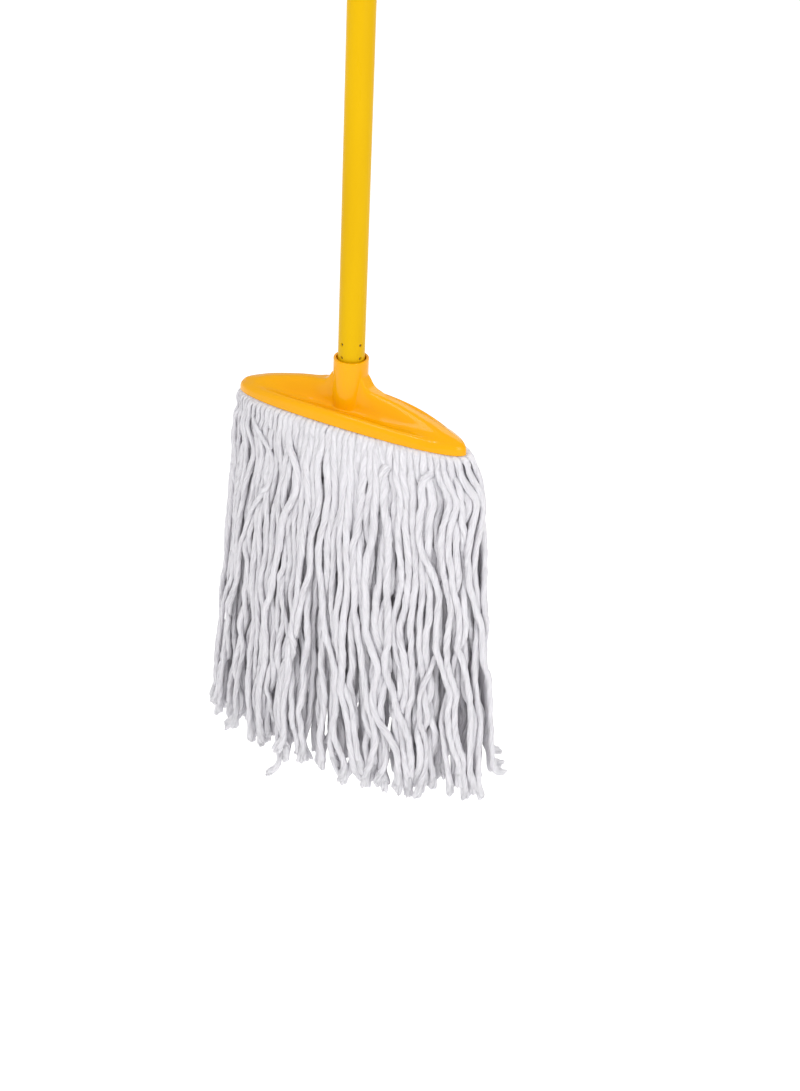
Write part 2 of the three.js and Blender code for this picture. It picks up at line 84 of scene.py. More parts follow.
# ---------------------------------------------------------------- mesh helpers
def mesh_object(name, verts_mm, faces, smooth=True, attrs=None):
    """verts_mm is (n, 3) from the head datum, in mm. faces is a list of index arrays, each (m, 3) or (m, 4)."""
    co = (np.asarray(verts_mm, float) - vec(0, 0, HOOK_Z)) * MM
    me = bpy.data.meshes.new(name)
    me.vertices.add(len(co))
    me.vertices.foreach_set("co", co.astype(np.float32).ravel())
    faces = [np.asarray(f, np.int32) for f in faces if len(f)]
    loops = np.concatenate([f.ravel() for f in faces])
    totals = np.concatenate([np.full(len(f), f.shape[1], np.int32) for f in faces])
    starts = np.concatenate([[0], np.cumsum(totals)[:-1]]).astype(np.int32)
    me.loops.add(len(loops))
    me.loops.foreach_set("vertex_index", loops)
    me.polygons.add(len(totals))
    me.polygons.foreach_set("loop_start", starts)
    me.polygons.foreach_set("use_smooth", np.full(len(totals), smooth, bool))
    for key, values in (attrs or {}).items():
        a = me.attributes.new(key, "FLOAT_VECTOR", "POINT")
        a.data.foreach_set("vector", np.asarray(values, np.float32).ravel())
    me.update(calc_edges=True)
    me.validate()
    o = bpy.data.objects.new(name, me)
    bpy.context.scene.collection.objects.link(o)
    return o


def loft(rings, first=None, last=None):
    """Quads over closed rings (r, n, 3), with a fan to a point at either end."""
    rings = np.asarray(rings, float)
    r, n, _ = rings.shape
    points = rings.reshape(-1, 3)
    i = np.arange(n)
    j = (i + 1) % n
    quads = np.concatenate(
        [np.stack([k * n + i, k * n + j, (k + 1) * n + j, (k + 1) * n + i], 1) for k in range(r - 1)]
    )
    tris = []
    if first is not None:
        points = np.vstack([points, first])
        tris.append(np.stack([np.full(n, len(points) - 1), j, i], 1))
    if last is not None:
        points = np.vstack([points, last])
        b = (r - 1) * n
        tris.append(np.stack([np.full(n, len(points) - 1), b + i, b + j], 1))
    return points, [quads] + tris


def joined(parts):
    """Several (points, faces) as one."""
    points, quads, tris, base = [], [], [], 0
    for p, faces in parts:
        for f in faces:
            (quads if f.shape[1] == 4 else tris).append(f + base)
        points.append(p)
        base += len(p)
    out = []
    if quads:
        out.append(np.concatenate(quads))
    if tris:
        out.append(np.concatenate(tris))
    return np.vstack(points), out


def lathe(profile, n, x=0.0, y=0.0, closed=False):
    t = np.arange(n) * 2 * np.pi / n
    rings = [
        np.stack([x + r * np.cos(t), y + r * np.sin(t), np.full(n, z)], 1)
        for r, z in profile
        if r > 0
    ]
    if closed:
        rings.append(rings[0])
        return loft(rings)
    return loft(
        rings,
        (x, y, profile[0][1]) if profile[0][0] == 0 else None,
        (x, y, profile[-1][1]) if profile[-1][0] == 0 else None,
    )


def facing_out(o):
    bm = bmesh.new()
    bm.from_mesh(o.data)
    bmesh.ops.remove_doubles(bm, verts=bm.verts, dist=1e-7)
    bmesh.ops.recalc_face_normals(bm, faces=bm.faces)
    bm.to_mesh(o.data)
    bm.free()
    return o


def apply_modifiers(o):
    dg = bpy.context.evaluated_depsgraph_get()
    me = bpy.data.meshes.new_from_object(o.evaluated_get(dg))
    o.modifiers.clear()
    o.data = me
    return o


def cut(o, tools):
    for t in tools:
        mod = o.modifiers.new("cut", "BOOLEAN")
        mod.operation, mod.object, mod.solver = "DIFFERENCE", t, "EXACT"
    bpy.context.view_layer.update()
    apply_modifiers(o)
    for t in tools:
        bpy.data.objects.remove(t)
    return o


def shade_by_angle(o, degrees=40):
    me = o.data
    me.polygons.foreach_set("use_smooth", np.ones(len(me.polygons), bool))
    bm = bmesh.new()
    bm.from_mesh(me)
    limit = math.radians(degrees)
    for e in bm.edges:
        e.smooth = len(e.link_faces) == 2 and e.calc_face_angle(0.0) < limit
    bm.to_mesh(me)
    bm.free()


def remeshed(name, node, voxel, smooth=6):
    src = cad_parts[node]
    o = bpy.data.objects.new(name, src.data.copy())
    bpy.context.scene.collection.objects.link(o)
    mod = o.modifiers.new("remesh", "REMESH")
    mod.mode, mod.voxel_size, mod.adaptivity = "VOXEL", voxel, 0.0
    mod.use_smooth_shade = True
    sm = o.modifiers.new("smooth", "SMOOTH")
    sm.factor, sm.iterations = 0.5, smooth
    bpy.context.view_layer.update()
    apply_modifiers(o)
    o.data.polygons.foreach_set("use_smooth", np.ones(len(o.data.polygons), bool))
    o.data.materials.clear()
    return o


# ---------------------------------------------------------------- materials
class Nodes:
    def __init__(self, name):
        self.mat = bpy.data.materials.new(name)
        self.mat.use_nodes = True
        self.t = self.mat.node_tree
        self.t.nodes.clear()
        self.out = self.t.nodes.new("ShaderNodeOutputMaterial")
        self.bsdf = self.t.nodes.new("ShaderNodeBsdfPrincipled")
        self.t.links.new(self.bsdf.outputs[0], self.out.inputs[0])

    def set(self, **values):
        for key, v in values.items():
            self.bsdf.inputs[key.replace("_", " ")].default_value = v

    def node(self, kind, **props):
        n = self.t.nodes.new("ShaderNode" + kind)
        for k, v in props.items():
            setattr(n, k, v)
        return n

    def link(self, a, b):
        self.t.links.new(a, b)

    def coords(self):
        return self.node("TexCoord").outputs["Object"]

    def attribute(self, name):
        return self.node("Attribute", attribute_name=name).outputs["Vector"]

    def mapped(self, vector, scale=(1, 1, 1), rotation=(0, 0, 0)):
        n = self.node("Mapping")
        n.inputs["Scale"].default_value = scale
        n.inputs["Rotation"].default_value = rotation
        self.link(vector, n.inputs["Vector"])
        return n.outputs[0]

    def noise(self, vector, scale, detail=3.0, rough=0.55, distortion=0.0):
        n = self.node("TexNoise")
        n.inputs["Scale"].default_value = scale
        n.inputs["Detail"].default_value = detail
        n.inputs["Roughness"].default_value = rough
        n.inputs["Distortion"].default_value = distortion
        self.link(vector, n.inputs["Vector"])
        return n.outputs["Fac"]

    def ramp(self, value, *stops):
        n = self.node("ValToRGB")
        e = n.color_ramp.elements
        while len(e) < len(stops):
            e.new(0.5)
        for el, (pos, c) in zip(e, stops):
            el.position = pos
            el.color = (*c, 1) if len(c) == 3 else c
        self.link(value, n.inputs[0])
        return n.outputs[0]

    def remap(self, value, lo, hi, a=0.0, b=1.0):
        n = self.node("MapRange")
        for key, v in (("From Min", a), ("From Max", b), ("To Min", lo), ("To Max", hi)):
            n.inputs[key].default_value = v
        self.link(value, n.inputs["Value"])
        return n.outputs[0]

    def math(self, op, a, b):
        n = self.node("Math", operation=op)
        for k, v in enumerate((a, b)):
            if isinstance(v, (int, float)):
                n.inputs[k].default_value = v
            else:
                self.link(v, n.inputs[k])
        return n.outputs[0]

    def mix(self, fac, a, b):
        n = self.node("Mix", data_type="RGBA")
        for key, v in ((0, fac), (6, a), (7, b)):
            if isinstance(v, (int, float)):
                n.inputs[key].default_value = v
            elif isinstance(v, tuple):
                n.inputs[key].default_value = (*v, 1)
            else:
                self.link(v, n.inputs[key])
        return n.outputs[2]

    def bump(self, height, strength, distance, normal=None):
        n = self.node("Bump")
        n.inputs["Strength"].default_value = strength
        n.inputs["Distance"].default_value = distance
        self.link(height, n.inputs["Height"])
        if normal is not None:
            self.link(normal, n.inputs["Normal"])
        return n.outputs[0]


def moulded_plastic(name, base, deep, rough, scratch=0.5):
    """Injection-moulded gloss plastic: faint flow marks in the colour, handling scratches and a soft mould texture."""
    n = Nodes(name)
    p = n.coords()
    flow = n.noise(n.mapped(p, (9, 22, 30)), 1.0, 4, 0.6, 1.4)
    cloud = n.noise(p, 38, 2, 0.5)
    tone = n.math("ADD", n.math("MULTIPLY", flow, 0.6), n.math("MULTIPLY", cloud, 0.4))
    n.link(n.ramp(tone, (0.28, deep), (0.72, base)), n.bsdf.inputs["Base Color"])
    fine = n.noise(p, 900, 2, 0.6)
    hair = n.noise(n.mapped(p, (60, 1400, 1400), (0, 0.2, 0.5)), 1.0, 2, 0.6)
    hair = n.remap(hair, 0, 1, 0.66, 0.72)
    smear = n.noise(p, 55, 4, 0.65)
    n.link(
        n.math("ADD", n.remap(smear, rough - 0.05, rough + 0.07, 0.3, 0.7), n.math("MULTIPLY", hair, 0.1 * scratch)),
        n.bsdf.inputs["Roughness"],
    )
    soft = n.noise(p, 140, 2, 0.5)
    b1 = n.bump(soft, 0.05, 0.0003)
    b2 = n.bump(fine, 0.04, 0.00006, b1)
    n.link(b2, n.bsdf.inputs["Normal"])
    n.set(IOR=1.47, Specular_IOR_Level=0.24)
    return n


def painted_tube(name):
    """Stove-enamelled steel: slight orange peel, thin long drawing lines, rubbed patches."""
    n = Nodes(name)
    p = n.coords()
    drift = n.noise(n.mapped(p, (30, 30, 5)), 1.0, 3, 0.5)
    n.link(
        n.ramp(drift, (0.3, (0.69, 0.405, 0.001)), (0.7, (0.74, 0.445, 0.0013))),
        n.bsdf.inputs["Base Color"],
    )
    peel = n.noise(p, 420, 2, 0.5)
    lines = n.noise(n.mapped(p, (900, 900, 9)), 1.0, 2, 0.5)
    rub = n.noise(n.mapped(p, (60, 60, 14)), 1.0, 4, 0.6)
    n.link(n.remap(rub, 0.24, 0.38, 0.3, 0.7), n.bsdf.inputs["Roughness"])
    b1 = n.bump(peel, 0.12, 0.0003)
    b2 = n.bump(lines, 0.06, 0.0002, b1)
    n.link(b2, n.bsdf.inputs["Normal"])
    n.set(IOR=1.47, Specular_IOR_Level=0.08)
    return n.mat


def cotton_yarn(name):
    """Soft low-twist cotton: fine fibres along the strand, creases slightly greyed with painted shade, light nap."""
    n = Nodes(name)
    f = n.attribute("fibre")
    # this streak noise is relief in the bump and painted crease shade in the colour
    streak_relief_and_groove_shade = n.noise(n.mapped(f, (0.62, 0.62, 0.035)), 1.0, 4, 0.6)
    hair = n.noise(n.mapped(f, (1.2, 1.2, 0.11)), 1.0, 3, 0.6)
    patch = n.noise(n.mapped(f, (0.10, 0.10, 0.022)), 1.0, 3, 0.5)
    nap = n.noise(n.mapped(f, (0.9, 0.9, 0.7)), 1.0, 3, 0.65)
    # painted shade: where the streak relief sinks into grooves the colour greys, mixed with random patches of tone
    tone = n.math("ADD", n.math("MULTIPLY", streak_relief_and_groove_shade, 0.72), n.math("MULTIPLY", patch, 0.28))
    body = n.ramp(tone, (0.34, (0.72, 0.704, 0.739)), (0.5, (0.862, 0.847, 0.883)), (0.64, (0.91, 0.895, 0.93)))
    # grey for loose fibres, laid over the painted crease shade
    fluff_and_groove_shade = n.mix(n.remap(hair, 0.0, 0.42, 0.50, 0.70), body, (0.72, 0.705, 0.741))
    n.link(fluff_and_groove_shade, n.bsdf.inputs["Base Color"])
    n.link(n.remap(nap, 0.86, 0.98, 0.3, 0.7), n.bsdf.inputs["Roughness"])
    b1 = n.bump(streak_relief_and_groove_shade, 0.95, 0.0019)
    b2 = n.bump(hair, 0.9, 0.0010, b1)
    b3 = n.bump(nap, 0.7, 0.0011, b2)
    n.link(b3, n.bsdf.inputs["Normal"])
    n.set(Sheen_Weight=0.12, Sheen_Roughness=0.6, Specular_IOR_Level=0.08, IOR=1.4, Subsurface_Weight=0.35, Subsurface_Scale=0.0022)
    n.bsdf.inputs["Subsurface Radius"].default_value = (1.0, 0.97, 0.95)
    n.bsdf.inputs["Sheen Tint"].default_value = (0.97, 0.96, 1.0, 1)
    return n.mat


def woven_tape(name):
    n = Nodes(name)
    p = n.coords()
    warp = n.node("TexWave", wave_type="BANDS", bands_direction="X", wave_profile="SIN")
    weft = n.node("TexWave", wave_type="BANDS", bands_direction="Y", wave_profile="SIN")
    for w in (warp, weft):
        w.inputs["Scale"].default_value = 420
        w.inputs["Distortion"].default_value = 0.5
        n.link(p, w.inputs["Vector"])
    weave = n.math("MAXIMUM", warp.outputs["Fac"], weft.outputs["Fac"])
    stain = n.noise(p, 60, 4, 0.6)
    cloth = n.ramp(weave, (0.2, (0.52, 0.49, 0.42)), (0.9, (0.78, 0.75, 0.67)))
    n.link(n.mix(n.remap(stain, 0.0, 0.25, 0.45, 0.75), cloth, (0.55, 0.50, 0.40)), n.bsdf.inputs["Base Color"])
    n.link(n.bump(weave, 0.6, 0.0005), n.bsdf.inputs["Normal"])
    n.link(n.remap(stain, 0.85, 0.97), n.bsdf.inputs["Roughness"])
    n.set(Sheen_Weight=0.12, Specular_IOR_Level=0.15)
    return n.mat


def brushed_steel(name):
    n = Nodes(name)
    p = n.coords()
    turn = n.noise(n.mapped(p, (300, 300, 2600)), 1.0, 3, 0.6)
    spot = n.noise(p, 700, 3, 0.6)
    n.link(n.ramp(spot, (0.35, (0.42, 0.43, 0.44)), (0.65, (0.62, 0.63, 0.65))), n.bsdf.inputs["Base Color"])
    n.link(n.remap(turn, 0.22, 0.42, 0.3, 0.7), n.bsdf.inputs["Roughness"])
    n.link(n.bump(turn, 0.2, 0.0001), n.bsdf.inputs["Normal"])
    n.set(Metallic=1.0)
    return n.mat


def matte_plastic(name):
    n = Nodes(name)
    p = n.coords()
    grain = n.noise(p, 1300, 3, 0.6)
    scuff = n.noise(n.mapped(p, (200, 200, 40)), 1.0, 4, 0.6)
    n.link(n.ramp(scuff, (0.3, (0.018, 0.018, 0.020)), (0.75, (0.040, 0.040, 0.043))), n.bsdf.inputs["Base Color"])
    n.link(n.remap(grain, 0.42, 0.62, 0.3, 0.7), n.bsdf.inputs["Roughness"])
    n.link(n.bump(grain, 0.25, 0.00015), n.bsdf.inputs["Normal"])
    return n.mat


HEAD = moulded_plastic("head_plastic", (0.90, 0.415, 0.0008), (0.88, 0.392, 0.0008), 0.13)
head_mat = HEAD.mat
cap_mat = moulded_plastic("cap_plastic", (0.96, 0.44, 0.006), (0.91, 0.39, 0.005), 0.36, 1.0).mat
plate_mat = moulded_plastic("plate_plastic", (0.94, 0.43, 0.006), (0.88, 0.375, 0.005), 0.38, 1.0).mat
tube_mat = painted_tube("handle_paint")
yarn_mat = cotton_yarn("yarn_cotton")
tape_mat = woven_tape("tape_cotton")
steel_mat = brushed_steel("screw_steel")
plug_mat = matte_plastic("plug_plastic")


def finish_piece(o, mat, body=None, nodes=()):
    o.data.materials.clear()
    o.data.materials.append(mat)
    if body:
        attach(o, body)
    if nodes:
        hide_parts(*nodes)
    return o


# ---------------------------------------------------------------- shared surfaces (mm, from the head datum)
HALF_L, HALF_W, PLAN_N = 126.1, 34.6, 0.59


def smooth(v):
    u = np.clip(v, 0, 1)
    return u * u * (3 - 2 * u)


def arch_at(x):
    return 1 - (x / HALF_L) ** 2


def lip_z(x):
    return 8.4 * arch_at(x)


def crest_z(x):
    return 8.4 + 13.2 * arch_at(x) + 1.2 * smooth((x - 90) / 28)


def drop_at(x):
    return 8 * np.maximum(0, 1 - (x / 116) ** 2) ** 0.75


def dish_at(x):
    """Depth of the troughs beside the ridge, under the rim: they run out before the tips."""
    return 5.6 * smooth((107 - np.abs(x)) / 62) ** 0.8


def crown_at(x):
    """How far in from the outline the rim's crest lies: further in at the noses."""
    return 4.0 + 4.4 * smooth((np.abs(x) - 50) / 70)


RIDGE = np.array([(0, 50.5), (17, 49.4), (18.5, 46.6), (20, 44), (22, 41.4), (24, 39.7), (26, 38.7), (28, 38.0), (30.5, 37.7), (34, 36.7), (38, 35.9), (44, 34.9),
                  (50, 33.8), (56, 32.6), (62, 31.1), (68, 29.6), (74, 28), (80, 26.4), (86, 24.7), (92, 22.9), (98, 20.8), (104, 18.4),
                  (110, 16.4), (116, 14.0), (120, 12.2), (126.2, 10.2)])
_rx = np.arange(0, 126.3, 0.5)
_rz = np.interp(_rx, RIDGE[:, 0], RIDGE[:, 1])
for _ in range(5):
    _rz[1:-1] = 0.25 * _rz[:-2] + 0.5 * _rz[1:-1] + 0.25 * _rz[2:]


def ridge_z(x):
    return np.interp(np.abs(x), _rx, _rz)


def ridge_share(x, y):
    """Section of the ridge: flat-topped, with steep sides that run out into the troughs."""
    x = np.abs(x)
    edge = (HALF_W - 5) * np.maximum(0, 1 - (x / (HALF_L - 5)) ** 2) ** PLAN_N
    w = np.minimum(8.9, 0.62 * edge + 0.4)
    w = w + 0.9 * (1 - smooth((x - 18) / 20))
    p = 4.2 + 6.0 * (1 - smooth((x - 17) / 26))
    return 1 / (1 + (np.abs(y) / w) ** p) * (1 - smooth((np.abs(y) / w - 1.2) / 1.0))


def deck_z(x):
    return crest_z(x) - drop_at(x)


def plan(t, d):
    s = np.sin(t)
    return (HALF_L - d) * np.cos(t), (HALF_W - d) * np.sign(s) * np.abs(s) ** (2 * PLAN_N)


def plan_ring(t, d, z):
    x, y = plan(t, d)
    return np.stack([x, y, z(x)], 1)


# ---------------------------------------------------------------- head shell
def inset_of(x, y):
    """How far in from the outline a point lies, in the outline's own measure."""
    lo, hi = np.zeros_like(x), np.full_like(x, HALF_W - 0.02)
    for _ in range(34):
        mid = (lo + hi) / 2
        f = (np.abs(x) / (HALF_L - mid)) ** 2 + (np.abs(y) / (HALF_W - mid)) ** (1 / PLAN_N)
        inside = f < 1
        lo, hi = np.where(inside, mid, lo), np.where(inside, hi, mid)
    return (lo + hi) / 2


SOCKET = dict(top=66.2, r_top=16.85, r_foot=16.9, mouth=14.2, bore=13.9)


def top_height(x, y, d):
    """The shell's upper face at a point that lies d in from the outline."""
    c = crown_at(x)
    q = np.clip(d / c, 0, 1)
    e = 2.3 + 0.9 * smooth((np.abs(x) - 95) / 28)
    side = lip_z(x) + (crest_z(x) - lip_z(x)) * (1 - (1 - q) ** e) ** (1 / e)
    w = np.clip((d - c) / 15.5, 0, 1)
    inner = crest_z(x) - dish_at(x) * (0.7 * w * smooth(w / 0.25) ** 0.5 + 0.3 * smooth(w))
    z = np.where(d < c, side, inner)
    floor = crest_z(x) - dish_at(x)
    z = z + np.maximum(0, ridge_z(x) - floor) * ridge_share(x, y) * smooth((d - 0.6) / 7.0)
    u = np.hypot(x, y) - SOCKET["r_foot"]
    v = np.clip((1.7 - u) / 1.7, 0, 1)
    z = z + 1.7 * (1 - np.sqrt(np.clip(1 - v**2, 0, 1)))
    return np.maximum(z, lip_z(x) + 0.1)


def head_shell():
    n = 360
    t = np.arange(n) * 2 * np.pi / n

    def lip(share):
        return lambda x: lip_z(x) + share * (crest_z(x) - lip_z(x))

    def slope(d):
        return lambda x: crest_z(x) - drop_at(x) * smooth((d - 5) / 8)

    top_z, top_r, foot_r = SOCKET["top"], SOCKET["r_top"], SOCKET["r_foot"]
    mouth_r, bore_r = SOCKET["mouth"], SOCKET["bore"]

    def socket_r(z):
        return top_r + (foot_r - top_r) * (top_z - z) / 51.4

    def circle(r, z):
        return np.stack([r * np.cos(t), r * np.sin(t), np.full(n, z)], 1)

    rings = []
    x13, y13 = plan(t, 13)
    for share in (0.06, 0.12, 0.25, 0.4, 0.55, 0.7, 0.85):
        rings.append(np.stack([x13 * share, y13 * share, deck_z(x13 * share) - 2.4], 1))
    rings.append(plan_ring(t, 13.4, lambda x: deck_z(x) - 2.4))
    rings.append(plan_ring(t, 11.4, lambda x: slope(11)(x) - 2.4))
    rings.append(plan_ring(t, 9.4, lambda x: slope(9)(x) - 2.6))
    rings.append(plan_ring(t, 7.4, lambda x: slope(7)(x) - 3.0))
    rings.append(plan_ring(t, 5.8, lambda x: crest_z(x) - 3.6))
    for d, sh in ((4.4, 0.62), (3.6, 0.42), (3.0, 0.2), (2.6, 0.04)):
        rings.append(plan_ring(t, d, lip(sh)))
    rings.append(plan_ring(t, 2.3, lambda x: lip_z(x) + 0.1))
    rings.append(plan_ring(t, 1.9, lip_z))
    rings.append(plan_ring(t, 0.75, lip_z))
    rings.append(plan_ring(t, 0.28, lambda x: lip_z(x) + 0.04))
    # outer wall, shoulder, rim and dish
    for d in (0.0, 0.04, 0.1, 0.2, 0.35, 0.55, 0.8, 1.1, 1.5, 1.95, 2.45, 3.0, 3.6, 4.3, 5.0, 5.7, 6.4, 7.1, 7.9, 8.7, 9.5,
              10.3, 11.1, 12.0):
        x, y = plan(t, d)
        rings.append(np.stack([x, y, top_height(x, y, np.full(n, d))], 1))
    x12, y12 = plan(t, 12.0)
    px, py = foot_r * np.cos(t), foot_r * np.sin(t)
    gap = np.hypot(x12 - px, y12 - py)
    shares = 1 - (np.arange(1, 57) / 57.0)
    shares = [float(v) ** 1.7 for v in shares] + [0.0006]
    for sh in shares:
        x, y = px + (x12 - px) * sh, py + (y12 - py) * sh
        rings.append(np.stack([x, y, top_height(x, y, inset_of(x, y))], 1))
    z_foot = top_height(px, py, inset_of(px, py))
    # the socket, from where the fillet leaves it
    for k in (0.0, 0.12, 0.3, 0.5, 0.7, 0.88):
        z = z_foot + (62.5 - z_foot) * k
        r = socket_r(z)
        rings.append(np.stack([r * np.cos(t), r * np.sin(t), z], 1))
    for r, z in ((top_r, 62.5), (top_r, 65.0), (top_r - 0.05, 65.5), (top_r - 0.2, 65.9), (top_r - 0.5, 66.15), (top_r - 0.75, 66.2),
                 (mouth_r + 0.4, 66.2), (mouth_r + 0.14, 66.05), (mouth_r, 65.6), (mouth_r - 0.1, 64.0),
                 (bore_r, 56.0), (bore_r, 48.2), (bore_r - 0.3, 46.25), (11.0, 46.2), (10.4, 45.4), (10.4, 21.0),
                 (9.8, 20.5)):
        rings.append(circle(r, z))
    shell = loft(rings, (0, 0, deck_z(0) - 2.4), (0, 0, 20.5))
    shell[0][:, 0] += 1.3 * smooth((shell[0][:, 0] - 96) / 30)
    parts = [shell]
    for x in (-84, -36, 36, 84):
        top, bottom = deck_z(x) - 1.2, lip_z(x) - 3.0
        parts.append(lathe([(0, top), (4.5, top), (4.5, bottom + 0.3), (4.2, bottom), (1.9, bottom), (1.8, bottom + 0.2),
                            (1.8, bottom + 8), (0, bottom + 8)], 40, x))
    o = mesh_object("head_shell_fine", *joined(parts))
    facing_out(o)
    shade_by_angle(o, 50)
    return finish_piece(o, head_mat, "head", ["head_shell"])


head_shell()


# ---------------------------------------------------------------- clamp plate and screws
def clamp_plate():
    n = 240
    t = np.arange(n) * 2 * np.pi / n
    top = lambda x: lip_z(x) - 3.4
    bottom = lambda x: lip_z(x) - 6.4

    def scaled(share, z):
        x, y = plan(t, 8.3)
        return np.stack([x * share, y * share, z(x * share)], 1)

    shares = (0.08, 0.2, 0.35, 0.5, 0.65, 0.8, 0.92)
    rings = [scaled(s, top) for s in shares]
    for d, dz in ((8.3, 0), (7.9, -0.12), (7.6, -0.4), (7.5, -0.8), (7.5, -2.2), (7.6, -2.6), (7.9, -2.88), (8.3, -3.0)):
        rings.append(plan_ring(t, d, lambda x, dz=dz: top(x) + dz))
    rings += [scaled(s, bottom) for s in shares[::-1]]
    o = mesh_object("clamp_plate_fine", *loft(rings, (0, 0, top(0)), (0, 0, bottom(0))))
    facing_out(o)
    tools = []
    for x in (-84, -36, 36, 84):
        b = lip_z(x) - 6.4
        tools.append(facing_out(mesh_object("tool", *lathe(
            [(0, b - 4), (4.6, b - 4), (4.6, b + 0.1), (4.4, b + 1.3), (2.0, b + 1.3), (2.0, b + 7), (0, b + 7)], 48, x))))
    cut(o, tools)
    shade_by_angle(o, 35)
    return finish_piece(o, plate_mat, "head", ["clamp_plate"])


clamp_plate()


def screws():
    for k, x in enumerate((-84, -36, 36, 84)):
        seat = lip_z(x) - 6.4 + 1.0
        tip = lip_z(x) - 3.0 + 7.2
        prof = [(0, seat - 2.05), (1.6, seat - 2.05), (2.6, seat - 1.9), (3.2, seat - 1.5), (3.5, seat - 0.9), (3.6, seat - 0.3),
                (3.55, seat), (1.55, seat)]
        z = seat + 0.5
        while z < tip - 2.2:  # thread ridges
            prof += [(1.25, z), (1.55, z + 0.45), (1.25, z + 0.9)]
            z += 1.2
        prof += [(1.1, tip - 1.6), (0, tip)]
        o = facing_out(mesh_object("clamp_screw_%d_fine" % (k + 1), *lathe(prof, 40, x)))
        ang = (0.3, 1.0, 0.1, 0.7)[k]
        tools = []
        for a in (ang, ang + math.pi / 2):
            c, s = math.cos(a), math.sin(a)
            pts = []
            for dz, ln, w in ((-2.6, 1.9, 0.42), (-0.75, 0.9, 0.28)):
                for u, v in ((-ln, -w), (ln, -w), (ln, w), (-ln, w)):
                    pts.append((x + u * c - v * s, u * s + v * c, seat + dz))
            f = np.array([[0, 3, 2, 1], [4, 5, 6, 7], [0, 1, 5, 4], [1, 2, 6, 5], [2, 3, 7, 6], [3, 0, 4, 7]])
            tools.append(facing_out(mesh_object("tool", np.array(pts), [f], False)))
        cut(o, tools)
        shade_by_angle(o, 35)
        finish_piece(o, steel_mat, "head", ["clamp_screw_%d" % (k + 1)])


screws()


# ---------------------------------------------------------------- handle
def handle():
    n = 220
    R, WALL, z0, z1 = 12.75, 0.8, 48.6, 1148.6
    t = np.arange(n) * 2 * np.pi / n
    zs = [z0 + 0.2, z0 + 2, 55, 60] + list(np.arange(64.0, 87.01, 0.33)) + [90, 95] + list(np.arange(110, z1 - 5, 40.0)) + [z1 - 2, z1 - 0.3]
    outer = []
    for z in zs:
        r = np.full(n, R)
        for row in (68.6, 82.2):
            if abs(z - row) < 3:
                for i in range(4):
                    a = math.radians(-61 + 45 + 90 * i)
                    arc = R * (np.mod(t - a + np.pi, 2 * np.pi) - np.pi)
                    q = np.sqrt(arc**2 + (z - row) ** 2)
                    r = r - 3.4 * np.exp(-((q / 1.35) ** 6)) - 0.14 * np.exp(-((q / 2.6) ** 2))
        outer.append(np.stack([r * np.cos(t), r * np.sin(t), np.full(n, z)], 1))
    circ = lambda r, z: np.stack([r * np.cos(t), r * np.sin(t), np.full(n, z)], 1)
    rings = [circ(R - WALL, z0 + 0.1), circ(R - 0.2, z0)] + outer + [circ(R - 0.2, z1), circ(R - WALL, z1 - 0.1)]
    rings += [circ(R - WALL, z) for z in (z1 - 30, 600.0, 120.0, 94.0)]
    rings += [circ(R - 4.6, z) for z in (90.0, 61.0)] + [circ(R - WALL, 57.0)]
    rings.append(rings[0])
    o = facing_out(mesh_object("handle_tube_fine", *loft(rings)))
    shade_by_angle(o, 40)
    finish_piece(o, tube_mat, "handle", ["handle_tube"])
    o = remeshed("handle_plug_fine", "handle_plug", 0.00042, 5)
    finish_piece(o, plug_mat, "handle", ["handle_plug"])
    o = remeshed("hang_cap_fine", "hang_cap", 0.00045, 6)
    finish_piece(o, cap_mat, "handle", ["hang_cap"])


handle()


# ---------------------------------------------------------------- tape and its stitches
def tape():
    nx, ny = 190, 9
    xs = np.linspace(-94, 94, nx)
    ys = np.linspace(-7, 7, ny)
    X, Y = np.meshgrid(xs, ys, indexing="ij")
    ztop = lip_z(X) - 3.4 + 1.25 + 0.10 * np.sin(X * 1.05) * np.cos(Y * 0.9)
    ztop -= 0.25 * (np.abs(Y) > 6.5)
    zbot = lip_z(X) - 3.4 + 0.45 + 0.05 * np.sin(X * 1.05)
    top = np.stack([X, Y, ztop], -1)
    bot = np.stack([X, Y[:, ::-1], zbot], -1)
    ringpts = np.concatenate([top, bot], 1)  # each x is one closed ring
    P, F = loft(ringpts, ringpts[0].mean(0), ringpts[-1].mean(0))
    parts = [(P, F)]
    o = facing_out(mesh_object("binding_tape_fine", *joined(parts)))
    tools = []
    for bx in (-84, -36, 36, 84):
        tools.append(facing_out(mesh_object("tool", *lathe([(0, -14), (4.9, -14), (4.9, 22), (0, 22)], 36, bx))))
    cut(o, tools)
    shade_by_angle(o, 50)
    finish_piece(o, tape_mat, "head", ["binding_tape"])
    parts = []
    for y in (-4.6, 4.6):
        for x in np.arange(-92, 92.1, 4.2):
            if min(abs(x - b) for b in (-84, -36, 36, 84)) < 6:
                continue
            u = np.linspace(-1, 1, 9)
            c = np.stack([x + 1.7 * u, y + 0 * u, lip_z(x) - 3.4 + 1.45 + 0.32 * (1 - u**2)], 1)
            a = np.arange(8) * np.pi / 4
            rr = 0.33 * np.sqrt(np.clip(1 - u**4, 0.02, 1))
            rings = [np.stack([np.full(8, p[0]), p[1] + r * np.cos(a), p[2] + r * np.sin(a)], 1) for p, r in zip(c, rr)]
            parts.append(loft(rings, c[0], c[-1]))
    o = facing_out(mesh_object("binding_stitches", *joined(parts)))
    finish_piece(o, tape_mat, "head")


tape()


# ---------------------------------------------------------------- yarn
HAIRS = 18  # loose fibres on each yarn
R0 = 3.5  # usual radius of a yarn
SIDES = 16
PLY = np.tile([0.96, 1.055, 0.985, 0.87], 4)  # four soft plies round the section


